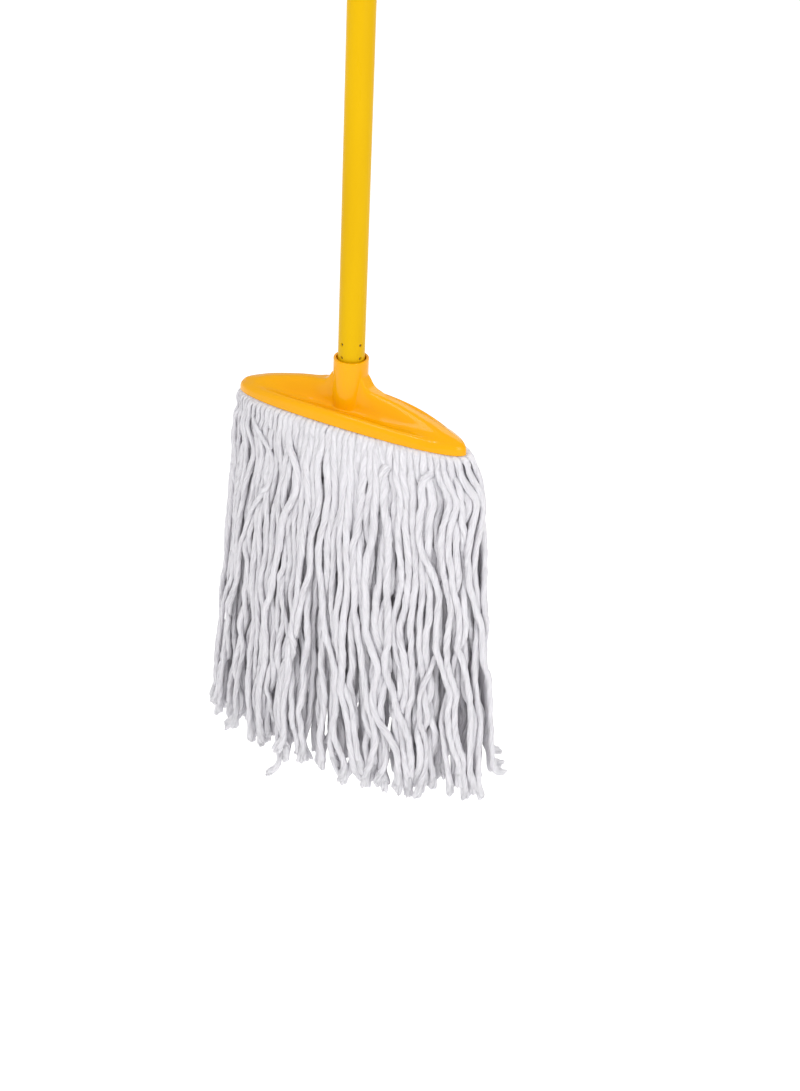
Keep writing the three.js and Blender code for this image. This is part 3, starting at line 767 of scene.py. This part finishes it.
def waves(n, count, lo, hi):
    """n smooth random functions of length in mm: sums of sines with wavelengths from lo to hi."""
    wl = rng.uniform(lo, hi, (n, count))
    ph = rng.uniform(0, 2 * np.pi, (n, count))
    am = rng.normal(0, 1, (n, count)) / math.sqrt(count)
    return lambda z: (am[:, None, :] * np.sin(2 * np.pi * z[..., None] / wl[:, None, :] + ph[:, None, :])).sum(-1)


def field(la, lz, seed):
    """A smooth random field over arc length and height, about -1.5 to 1.5."""
    g = np.random.default_rng(seed)
    k = 14
    ka = g.normal(0, 1, k) * 2 * np.pi / la
    kz = g.normal(0, 0.35, k) * 2 * np.pi / lz + g.choice([-1, 1], k) * 2 * np.pi / lz
    ph = g.uniform(0, 2 * np.pi, k)
    return lambda a, z: np.sin(a[..., None] * ka + z[..., None] * kz + ph).sum(-1) * math.sqrt(2 / k)


def yarn_a(s):
    return 134.1 + 33.9 * np.minimum(s, 1.03)


def yarn_b(s):
    return 42.6 + 29.4 * np.minimum(s, 1.03) ** 0.85


def hull(t, a, b):
    s = np.sin(t)
    return a * np.cos(t), b * np.sign(s) * np.abs(s) ** (2 * PLAN_N)


TT = np.linspace(0, 2 * np.pi, 8001)


def even_t(a, b, count, shift):
    """count parameters evenly spaced by arc length round the outline with half-axes a and b."""
    x, y = hull(TT, a, b)
    arc = np.concatenate([[0], np.cumsum(np.hypot(np.diff(x), np.diff(y)))])
    want = (np.arange(count) + shift) * arc[-1] / count
    return np.interp(want, arc, TT), want, arc[-1]


# (d, z under the lip) along the rolled edge, for each layer, from inside the clamp outwards
ROLL = [
    [(9.5, 1.6), (5.5, 0.2), (2.6, -1.9), (0.0, -2.55), (-2.2, -3.6), (-3.9, -6.2), (-4.6, -9.8), (-4.7, -14.0)],
    [(10.0, -0.4), (6.6, -1.9), (4.0, -4.3), (2.0, -6.6), (0.8, -8.6), (0.2, -10.6), (0.0, -12.4), (0.0, -14.0)],
    [(11.5, -2.3), (8.9, -2.4), (6.6, -3.9), (5.4, -6.2), (4.8, -8.4), (4.6, -10.4), (4.5, -12.4), (4.5, -14.0)],
]
DEPTH = [3.4, 8.1, 12.6]  # of each layer under the outer face at the top
SPREAD = [2.6, 9.5, 17.0]  # and this much more at the bottom
FLAT = [0.44, 0.46, 0.50, 0.56, 0.58, 0.60, 0.61, 0.62]
PITCH = 6.55
LEVELS = 80
DROP_END = -392.0



def even_table(a, b):
    x, y = hull(TT, a, b)
    return np.concatenate([[0], np.cumsum(np.hypot(np.diff(x), np.diff(y)))]), TT


t_all, arc_all, layer = [], [], []
for L in range(3):
    a, b = 134.1 - DEPTH[L], 42.6 - DEPTH[L]
    _, _, per = even_t(a, b, 4, 0)
    count = int(round(per / PITCH))
    t, arc, _ = even_t(a, b, count, (0.5, 0.05, 0.55)[L])
    t_all.append(t)
    jit = rng.normal(0, 0.55, count)
    t_all[-1] = np.interp(arc + jit, np.linspace(0, per, len(TT)), np.interp(np.linspace(0, per, len(TT)), *even_table(a, b)))
    arc_all.append(arc + jit)
    layer.append(np.full(count, L))
t_all, arc_all, layer = (np.concatenate(v) for v in (t_all, arc_all, layer))
N = len(t_all)
radius = R0 * np.clip(rng.normal(1.0, 0.065, N), 0.86, 1.13)
radius = np.where(layer == 0, radius, radius * 0.97)

s_lv = np.linspace(0, 1, LEVELS)
S = np.broadcast_to(s_lv, (N, LEVELS))
x_lip = plan(t_all, 0)[0]
z_top = lip_z(x_lip) - 14.0
Z = z_top[:, None] + (DROP_END - z_top)[:, None] * S
fall = -Z
H = (z_top[:, None] - Z) / (z_top[:, None] + 360.0)  # share of the CAD yarn's own drop

# where each yarn would hang by itself
f_big, f_mid, f_small, f_in = field(170, 105, 5), field(70, 130, 6), field(34, 80, 8), field(60, 120, 7)
own, own_in, kink = waves(N, 3, 60, 170), waves(N, 3, 60, 200), waves(N, 3, 24, 46)
arc2 = np.broadcast_to(arc_all[:, None] + 171.0 * layer[:, None], (N, LEVELS))
env = smooth((S - 0.005) / 0.09) * (0.72 + 0.28 * S)
tang = env * (2.0 * f_big(arc2, fall) + 2.2 * f_mid(arc2, fall) + (0.5 + 0.9 * S) * f_small(arc2, fall))
f_top = field(110, 500, 12)
tang = tang + 6.5 * smooth((fall - 14) / 26) * np.exp(-(((fall - 50) / 30) ** 2)) * (0.7 + 0.5 * f_top(arc2, fall))
tang = tang * np.array([1.0, 0.85, 0.35])[layer][:, None]
tang = tang + smooth((S - 0.03) / 0.22) * ((0.12 + 0.95 * S) * 2.0 * own(fall) + (0.1 + 0.4 * S) * kink(fall))
# some yarns wander across their neighbours, over them
cross = (rng.random(N) < 0.34) & (layer < 2)
drift = np.where(cross, rng.choice([-1, 1], N) * rng.uniform(9, 32, N), rng.normal(0, 3.5, N))
start = rng.uniform(0.2, 0.6, N)
span = rng.uniform(0.30, 0.55, N)
tang = tang + drift[:, None] * smooth((S - start[:, None]) / span[:, None])
inward = np.array(DEPTH)[layer][:, None] + np.array(SPREAD)[layer][:, None] * S ** 1.1
inward = inward + (0.25 + 0.75 * env) * (1.8 * f_in(arc2, fall) + 1.6 * own_in(fall)) - (smooth(S / 0.15) * 4.2) * cross[:, None]
AA, BB = yarn_a(H) - inward, yarn_b(H) - inward
T2 = np.broadcast_to(t_all[:, None], (N, LEVELS))
X, Y = hull(T2, AA, BB)
xa, ya = hull(T2 + 0.004, AA, BB)
xb, yb = hull(T2 - 0.004, AA, BB)
tx, ty = xa - xb, ya - yb
tl = np.hypot(tx, ty)
x_at = np.broadcast_to(x_lip[:, None], S.shape)
lean = 8.0 * S**1.25 + (6.5 + 5.0 * (1 - S)) * smooth((S + 0.01) / 0.11) * smooth((x_at - 45) / 75)
lean = lean + 6.5 * (1 - S) * smooth((fall - 22) / 26) * smooth((-x_at - 60) / 60)
lean = lean - 3.5 * np.exp(-(((fall - 50) / 13) ** 2)) * smooth((-x_at - 90) / 30)
lean = lean + 4.5 * (1 - smooth((fall - 14) / 26)) * smooth((-x_at - 90) / 30)
bulge = 6.5 * np.exp(-(((fall - 22) / 17) ** 2)) * smooth((x_at - 62) / 45) * smooth((np.sin(t_all)[:, None] + 0.5) / 0.6)
lean = lean + bulge
X = X + tang * tx / tl + lean
Y = Y + tang * ty / tl + 0.5 * bulge
home = np.stack([X, Y], -1)  # (N, LEVELS, 2)

# settle: yarns push each other apart and stay smooth along their length
P = home.copy()
P[:, 1:] += rng.normal(0, 0.05, P[:, 1:].shape)
fixed = 2
squeeze = (0.86 + 0.11 * smooth(s_lv / 0.3)) * (1.06 - 0.14 * smooth(s_lv / 0.55))


def neighbours(P, reach):
    out = []
    for k in range(fixed, LEVELS):
        q = P[:, k]
        d2 = ((q[:, None] - q[None]) ** 2).sum(-1)
        i, j = np.nonzero(np.triu(d2 < reach * reach, 1))
        out.append((np.full(len(i), k), i, j))
    return [np.concatenate(v) for v in zip(*out)]


# a yarn that hangs outside its neighbour at the top keeps to that side where they cross
rank = np.where(cross, 1 + 0.012 * np.abs(drift), 0.0) - 0.5 * layer
for it in range(190):
    if it % 10 == 0:
        K, I, J = neighbours(P, 12.5)
        want = (radius[I] + radius[J]) * squeeze[K]
    d = P[I, K] - P[J, K]
    dist = np.sqrt((d**2).sum(-1)) + 1e-6
    over = np.clip(want - dist, 0, None)
    n2 = d / dist[:, None]
    # bias along the outward direction, so that crossings pass in front rather than beside
    outdir = (P[I, K] + P[J, K]) * 0.5 - np.stack([np.clip((P[I, K, 0] + P[J, K, 0]) * 0.5, -95, 95), 0 * dist], -1)
    outdir /= np.linalg.norm(outdir, axis=1)[:, None] + 1e-6
    n2 = n2 + 1.2 * np.clip(rank[I] - rank[J], -1, 1)[:, None] * outdir
    n2 /= np.linalg.norm(n2, axis=1)[:, None]
    push = 0.42 * over[:, None] * n2
    move = np.zeros_like(P)
    np.add.at(move, (I, K), push)
    np.add.at(move, (J, K), -push)
    hits = np.ones((N, LEVELS))
    np.add.at(hits, (I, K), 0.35 * (over > 0))
    np.add.at(hits, (J, K), 0.35 * (over > 0))
    P[:, fixed:] += (move / hits[..., None] * 1.6)[:, fixed:]
    P[:, fixed:] += 0.035 * (home - P)[:, fixed:]
    for _ in range(2 if it < 185 else 1):
        E = P - home
        sm = E.copy()
        sm[:, 1:-1] = 0.25 * E[:, :-2] + 0.5 * E[:, 1:-1] + 0.25 * E[:, 2:]
        P[:, fixed:] = (home + E * 0.45 + sm * 0.55)[:, fixed:]
    # nothing leaves the outer face by more than a little
    a, b = yarn_a(H) - 1.0, yarn_b(H) - 1.0
    qx, qy = P[..., 0] - lean, P[..., 1]
    rho = (np.abs(qx / a) ** 2 + np.abs(qy / b) ** (1 / PLAN_N)) ** 0.5
    k = np.where(rho > 1, 1 / rho, 1.0)
    P[..., 0] = qx * (1 + (k - 1) * 0.5) + lean
    P[..., 1] = qy * (1 + (k - 1) * 0.5)

hang = np.concatenate([P, Z[..., None]], -1)

# the rolled edge, from the clamp to where the yarn hangs
roll = np.zeros((N, 8, 3))
for L in range(3):
    w = layer == L
    for k, (d, z) in enumerate(ROLL[L]):
        x, y = plan(t_all[w], d)
        roll[w, k] = np.stack([x, y, lip_z(x_lip[w]) + z], 1)
# the last roll point and the first hanging point are the same place
outset = hang[:, 0, :2] - roll[:, 7, :2]
for k in range(2, 8):
    roll[:, k, :2] += outset * ((k - 1) / 6) ** 1.2
path = np.concatenate([roll[:, :7], hang], 1)
flat = np.concatenate([np.broadcast_to(FLAT[:7], (N, 7)), np.broadcast_to(0.62 + 0.26 * smooth((s_lv - 0.01) / 0.16), (N, LEVELS))], 1)


def resampled(p, f, step_roll=1.6, step=4.1, cut_at=None):
    """One yarn's path at even steps, through a Catmull-Rom curve of its points."""
    q = np.vstack([2 * p[0] - p[1], p, 2 * p[-1] - p[-2]])
    fine, ff = [], []
    for k in range(len(p) - 1):
        p0, p1, p2, p3 = q[k : k + 4]
        for u in (0, 0.25, 0.5, 0.75):
            fine.append(0.5 * (2 * p1 + (p2 - p0) * u + (2 * p0 - 5 * p1 + 4 * p2 - p3) * u**2 + (3 * p1 - p0 - 3 * p2 + p3) * u**3))
            ff.append(f[k] + (f[k + 1] - f[k]) * u)
    fine.append(p[-1])
    ff.append(f[-1])
    fine, ff = np.array(fine), np.array(ff)
    arc = np.concatenate([[0], np.cumsum(np.linalg.norm(np.diff(fine, axis=0), axis=1))])
    end = cut_at(fine, arc) if cut_at else arc[-1]
    first = 22.0
    at = np.concatenate([np.arange(0, first, step_roll), np.linspace(first, end, int(round((end - first) / step)) + 1)])
    return np.stack([np.interp(at, arc, fine[:, c]) for c in range(3)], 1), np.interp(at, arc, ff), at


def frames(p):
    """Parallel-transported frame along a path: tangents, and two normals."""
    tan = np.gradient(p, axis=0)
    tan /= np.linalg.norm(tan, axis=1)[:, None]
    nrm = np.zeros_like(p)
    ref = vec(0, 0, 1) if abs(tan[0, 2]) < 0.9 else vec(p[0, 0] * 0.2, p[0, 1], 0)
    v = ref - tan[0] * (ref @ tan[0])
    nrm[0] = v / np.linalg.norm(v)
    for k in range(1, len(p)):
        v = nrm[k - 1] - tan[k] * (nrm[k - 1] @ tan[k])
        nrm[k] = v / np.linalg.norm(v)
    return tan, nrm, np.cross(tan, nrm)


def tube(p, r, sides, twist=0.0, ply=None, flat=None, at=None, seed=0.0, phase=0.0):
    """A closed tube along p: points, faces and the fibre coordinate of each point."""
    tan, n1, n2 = frames(p)
    k = len(p)
    at = np.concatenate([[0], np.cumsum(np.linalg.norm(np.diff(p, axis=0), axis=1))]) if at is None else at
    ang = phase + np.arange(sides)[None] * 2 * np.pi / sides + twist * at[:, None]
    rr = np.broadcast_to(np.asarray(r, float).reshape(-1, 1), (k, sides))
    if ply is not None:
        rr = rr * ply
        base = np.arange(sides)[None] * 2 * np.pi / sides
        for _ in range(4):
            rr = rr * (1 + 0.030 * np.sin(at[:, None] * 2 * np.pi / rng.uniform(8, 30) + rng.integers(1, 4) * base + rng.uniform(0, 6.3)))
    c, s = np.cos(ang), np.sin(ang)
    fl = np.ones(k) if flat is None else flat
    wide = 1.0 + 0.62 * (1 - fl)
    pts = p[:, None] + (rr * c * fl[:, None])[..., None] * n1[:, None] + (rr * s * wide[:, None])[..., None] * n2[:, None]
    P_, F_ = loft(pts, p[0] - tan[0] * 0.3 * np.mean(rr[0]), p[-1] + tan[-1] * 0.5 * np.mean(rr[-1]))
    a0 = np.arange(sides)[None] * 2 * np.pi / sides + np.zeros((k, 1))
    fib = np.stack([rr * np.cos(a0) + seed, rr * np.sin(a0) + seed * 0.37, np.broadcast_to(at[:, None], (k, sides)) + seed * 3.1], -1).reshape(-1, 3)
    fib = np.vstack([fib, [seed, seed * 0.37, at[0] + seed * 3.1], [seed, seed * 0.37, at[-1] + seed * 3.1]])
    return P_, F_, fib


def strand(i, end_len, curl, fan, fan_dir, longer=None):
    """Yarn i as one closed low-twist tube that opens into a tuft of loose plies. Returns parts, fibres and centreline."""
    p, f, at = resampled(path[i], flat[i], cut_at=lambda fine, arc: np.interp(end_len, -fine[:, 2], arc))
    if longer is not None:  # points past the end, from the end
        p = np.vstack([p[:-1], smooth_chain(p[-1] + np.vstack([[0, 0, 0], longer]), 5)])
        at = np.concatenate([[0], np.cumsum(np.linalg.norm(np.diff(p, axis=0), axis=1))])
        f = np.concatenate([f, np.full(len(p) - len(f), f[-1])])
    total = at[-1]
    # the last part leans and curls
    lean = np.clip((at - (total - 46)) / 46, 0, 1) ** 2
    p = p + lean[:, None] * curl
    tuft = 16.0 + 8.0 * rng.random() if longer is None else 8.0
    rr = radius[i] * (1.06 - 0.14 * smooth(at / (0.55 * total))) * (1 + 0.045 * np.sin(at * 2 * np.pi / rng.uniform(34, 60) + rng.uniform(0, 6)) + 0.03 * np.sin(at * 2 * np.pi / rng.uniform(11, 19)))
    rr = rr * (1 + (0.20 if longer is None else 0.0) * smooth((at - (total - 32)) / 20))
    body = at <= total - tuft * 0.22
    taper = np.clip((total - tuft * 0.22 - at) / 6.0, 0, 1)
    rr = rr * (0.5 + 0.5 * np.sqrt(1 - (1 - taper) ** 2))
    nb = int(body.sum())
    phase = rng.uniform(0, 2 * np.pi)
    twist = 2 * np.pi / rng.uniform(62, 120) * rng.choice([1, 1, 1, -1])
    ply = PLY + 0.02 * rng.standard_normal(SIDES)
    seed = rng.uniform(0, 400)
    parts, fibs = [], []
    a, b, c = tube(p[:nb], rr[:nb], SIDES, twist, ply, f[:nb], at[:nb], seed, phase)
    parts.append((a, b))
    fibs.append(c)
    # loose plies at the cut end
    count = int(rng.integers(4, 7)) if longer is None else 3
    base_at = total - tuft
    q = np.linspace(0, 1, 11)
    across = np.linspace(-1, 1, count) + rng.normal(0, 0.10, count)
    tdir = p[-1] - p[-3]
    tdir /= np.linalg.norm(tdir)
    side = np.cross(tdir, fan_dir)
    side /= np.linalg.norm(side)
    fan_dir = np.cross(side, tdir)
    for j in range(count):
        u = q * (1 + rng.normal(0.02, 0.07)) * (1 - 0.10 * across[j] ** 2)
        where = base_at + tuft * u
        c0 = np.stack([np.interp(where, at, p[:, k]) for k in range(3)], 1)
        c0 = c0 + np.clip(where - total, 0, None)[:, None] * tdir
        off = fan_dir * across[j] * (radius[i] * 0.52 + fan * q[:, None] ** 1.5)
        off = off + side * rng.normal(0, 0.30) * radius[i] * (0.5 + 0.7 * q[:, None])
        off = off + (fan_dir * rng.normal(0, 0.7) + side * rng.normal(0, 0.7)) * q[:, None] ** 3
        rp = rng.uniform(1.8, 2.6) * np.sqrt(np.clip(1 - np.clip((q - 0.86) / 0.145, 0, 1) ** 2, 0, 1)) * (0.9 + 0.1 * q)
        rp = rp * (1 if longer is None else 0.75)
        far = np.linalg.norm(off, axis=1) + rp
        most = 0.62 * 2 * radius[i] + 1.5
        off = off * np.minimum(1, (most - rp) / np.maximum(far - rp, 1e-6))[:, None]
        a, b, c = tube(c0 + off, rp, 8, 0.0, None, None, None, seed + 9.0 * j, rng.uniform(0, 6))
        parts.append((a, b))
        fibs.append(c)
    # short loose fibres along it
    tan, n1, n2 = frames(p)
    for _ in range(HAIRS):
        k = int(rng.integers(10, max(11, nb - 3)))
        turn, run, lift = rng.uniform(0, 2 * np.pi), rng.uniform(2.5, 6.5) * rng.choice([-1, 1]), rng.uniform(0.5, 1.7)
        q = np.linspace(0, 1, 4)[:, None]
        face = n1[k] * math.cos(turn) * f[k] + n2[k] * math.sin(turn)
        sway = np.cross(tan[k], face) * rng.normal(0, 1.3)
        c0 = p[k] + face * (rr[k] * 0.93 + lift * q**0.8) + tan[k] * run * q + sway * q**2
        parts.append(tube(c0, np.full(4, 0.15) * (1 - 0.5 * q[:, 0]), 3)[:2])
        fibs.append(np.full((14, 3), seed))
    return parts, fibs, p


def smooth_chain(points, per=7):
    q = np.vstack([2 * points[0] - points[1], points, 2 * points[-1] - points[-2]])
    out = []
    for k in range(len(points) - 1):
        p0, p1, p2, p3 = q[k : k + 4]
        for u in np.arange(per) / per:
            out.append(0.5 * (2 * p1 + (p2 - p0) * u + (2 * p0 - 5 * p1 + 4 * p2 - p3) * u**2 + (3 * p1 - p0 - 3 * p2 + p3) * u**3))
    out.append(points[-1])
    return np.array(out)


# which body each yarn hangs with
x_hang = hull(t_all, 134.1 - 3, 42.6 - 3)[0]
side_of = np.where(np.abs(x_hang) > 114, np.where(x_hang > 0, "yarn_right", "yarn_left"),
                   np.where(np.sin(t_all) < 0, "yarn_front", "yarn_rear"))

ends = 371 + rng.normal(0, 4.5, N) - 3.0 * layer + 5.0 * smooth((-x_lip - 10) / 70) - 4.0 * smooth((x_lip - 70) / 40) + 5.0 * smooth((np.abs(x_lip) - 70) / 50)
arcs_mid = field(45, 200, 31)(arc_all, np.zeros(N))
ends = ends + 4.0 * arcs_mid
ends = np.clip(ends, 345, 386)

tips = hang[:, -1]


def seen_at(p):
    """Where a point shows in the camera, in an 800 by 1091 picture."""
    d = np.asarray(p, float) - (eye + vec(0, 0, HOOK_Z))
    depth = -(d @ back)
    return np.stack([400 + CAM_F * (d @ cam_x) / depth, 545.5 - CAM_F * (d @ cam_y) / depth], -1)


tip_now = np.array([[np.interp(e, -hang[i, :, 2], hang[i, :, c]) for c in range(3)] for i, e in enumerate(ends)])
tip_px = seen_at(tip_now)
outer = np.nonzero(layer == 0)[0]
stray = int(outer[np.argmin(np.hypot(tip_px[outer, 0] - 281, tip_px[outer, 1] - 744))])
bunch = outer[np.argsort(-(tip_px[outer, 0]))[:5]].tolist()
ends[stray] = min(ends[stray], 364.0)
aside = vec(right[0], right[1], 0)
made = {}
for i in range(N):
    out = vec(tips[i, 0] - np.clip(tips[i, 0], -110, 110), tips[i, 1], 0)
    out /= np.linalg.norm(out) + 1e-6
    along = vec(-out[1], out[0], 0)
    fan_dir = along * math.cos(a := rng.normal(0, 0.5)) + out * math.sin(a)
    curl = along * rng.normal(0, 4.6) + out * rng.normal(0.4, 2.0)
    fan = rng.uniform(0.8, 3.4)
    longer = None
    if i == stray:
        longer = [aside * 1.5 + vec(0, 0, -12), aside * 2.0 + vec(0, 0, -24), aside * -1.5 + vec(0, 0, -33), aside * -9.0 + vec(0, 0, -40),
                  aside * -13.0 + vec(0, 0, -42)]
        fan, curl = 0.2, curl * 0
    if i in bunch:
        k = bunch.index(i)
        curl = vec(-1.0, 25.0, 5.0 + 3 * k) * (1.0, 0.8, 1.1, 0.6, 0.9)[k]
        fan = 2.6
    made[i] = strand(i, ends[i], curl, fan, fan_dir, longer)

BODY = {
    "yarn_front": ((0, -42.6, -3.0), (0, -42.6, -50.0), ["yarn_front_%d" % k for k in range(1, 6)]),
    "yarn_rear": ((0, 42.6, -3.0), (0, 42.6, -50.0), ["yarn_rear_%d" % k for k in range(1, 6)]),
    "yarn_left": ((-134.1, 0, -9.0), (-134.1, 0, -56.0), ["yarn_left_front", "yarn_left_rear"]),
    "yarn_right": ((134.1, 0, -9.0), (134.1, 0, -56.0), ["yarn_right_front", "yarn_right_rear"]),
}


def yarn_piece(name, members):
    parts, fibs = [], []
    for i in members:
        parts += made[i][0]
        fibs += made[i][1]
    # joined() puts all points in order, so the fibre coordinates stay in step
    pts, faces = joined(parts)
    o = mesh_object(name, pts, faces, True, {"fibre": np.vstack(fibs)})
    o.data.materials.append(yarn_mat)
    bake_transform(o)
    return o


# the yarns that hang furthest out are made one by one, a piece each
reach = np.abs(tips[:, 0]) / 168 + np.abs(tips[:, 1]) / 72
declared = sorted(np.argsort(-(reach + (layer == 0) * 0.5))[:36].tolist())
for i in declared:
    body = str(side_of[i])
    o = yarn_piece("yarn_end_%03d" % i, [i])
for body, (_, _, nodes) in BODY.items():
    members = [i for i in range(N) if side_of[i] == body and i not in declared]
    members.sort(key=lambda i: tips[i, 0])
    size = 44
    pieces = [members[k : k + size] for k in range(0, len(members), size)]
    for k, chunk in enumerate(pieces):
        o = yarn_piece("%s_strands_%d" % (body, k + 1), chunk)
        if k == 0:
            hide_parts(*nodes)


# the yarns laid across the head, between shell and plate
def laid():
    parts, fibs = [], []
    for L, (pitch, shift) in enumerate(((5.6, 0.0), (5.6, 2.8))):
        for x in np.arange(-116 + shift, 116.1, pitch):
            if min(abs(x - b) for b in (-84, -36, 36, 84)) < 7.6:
                continue
            half = (HALF_W - 10.0) * max(0.0, 1 - (x / (HALF_L - 10.0)) ** 2) ** PLAN_N
            if half < 4:
                continue
            y = np.linspace(-half, half, 15)
            gap_lo, gap_hi = lip_z(x) - 3.4 + 1.6, deck_z(x) - 2.4 - 0.5
            h = (gap_hi - gap_lo) / 2
            rv = min(2.6, h / 2)
            z = gap_lo + rv + L * 2 * rv + 0.15 * np.sin(y * 0.7 + x)
            p = np.stack([x + 0.35 * np.sin(y * 0.25 + x), y, z], 1)
            a, b, c = tube(p, np.full(15, 2.75), 12, 0.06, None, np.full(15, rv / 2.75 * 0.98), None, x * 3.3 + L * 50)
            parts.append((a, b))
            fibs.append(c)
    pts, faces = joined(parts)
    o = mesh_object("yarn_laid", pts, faces, True, {"fibre": np.vstack(fibs)})
    finish_piece(o, yarn_mat, "head", ["yarn_mat"])


laid()


# ---------------------------------------------------------------- floor and light
def stage():
    me = bpy.data.meshes.new("floor")
    s, z = 14.0, -2.55
    me.from_pydata([(-s, -s, z), (s, -s, z), (s, s, z), (-s, s, z)], [], [(0, 1, 2, 3)])
    o = bpy.data.objects.new("floor", me)
    bpy.context.scene.collection.objects.link(o)
    n = Nodes("floor_white")
    p = n.coords()
    mottled = n.noise(p, 2.0, 2, 0.5)
    n.link(n.ramp(mottled, (0.3, (0.985, 0.985, 0.985)), (0.7, (1, 1, 1))), n.bsdf.inputs["Base Color"])
    n.set(Roughness=0.9, Specular_IOR_Level=0.0)
    n.bsdf.inputs["Emission Color"].default_value = (1, 1, 1, 1)
    n.bsdf.inputs["Emission Strength"].default_value = 0.55
    me.materials.append(n.mat)
    w = bpy.data.worlds.new("studio")
    w.use_nodes = True
    bg = w.node_tree.nodes["Background"]
    bg.inputs["Color"].default_value = (1, 1, 1, 1)
    bg.inputs["Strength"].default_value = 0.59
    bpy.context.scene.world = w
    target = Vector((0, 0, -(HOOK_Z + 120) * MM))

    def area(name, az, el, dist, size, size_y, power):
        a, e = math.radians(az), math.radians(el)
        d = Vector((math.sin(a) * math.cos(e), -math.cos(a) * math.cos(e), math.sin(e)))
        light = bpy.data.lights.new(name, "AREA")
        light.shape, light.size, light.size_y, light.energy = "RECTANGLE", size, size_y, power
        lo = bpy.data.objects.new(name, light)
        bpy.context.scene.collection.objects.link(lo)
        lo.location = target + d * dist
        lo.rotation_mode = "QUATERNION"
        lo.rotation_quaternion = d.to_track_quat("Z", "Y")

    area("key", -12, 48, 2.2, 1.1, 1.1, 13.5)
    area("strip", 20, 66, 2.1, 0.14, 0.4, 3.6)
    area("glint", 66, 14, 2.0, 0.12, 0.4, 4.6)
    area("side", 78, 30, 2.2, 0.7, 1.4, 7.5)
    area("rim", 175, 40, 2.4, 1.6, 0.8, 8)


stage()
scene = bpy.context.scene
scene.view_settings.view_transform = "Standard"
scene.view_settings.look = "None"
scene.view_settings.exposure = 0.0
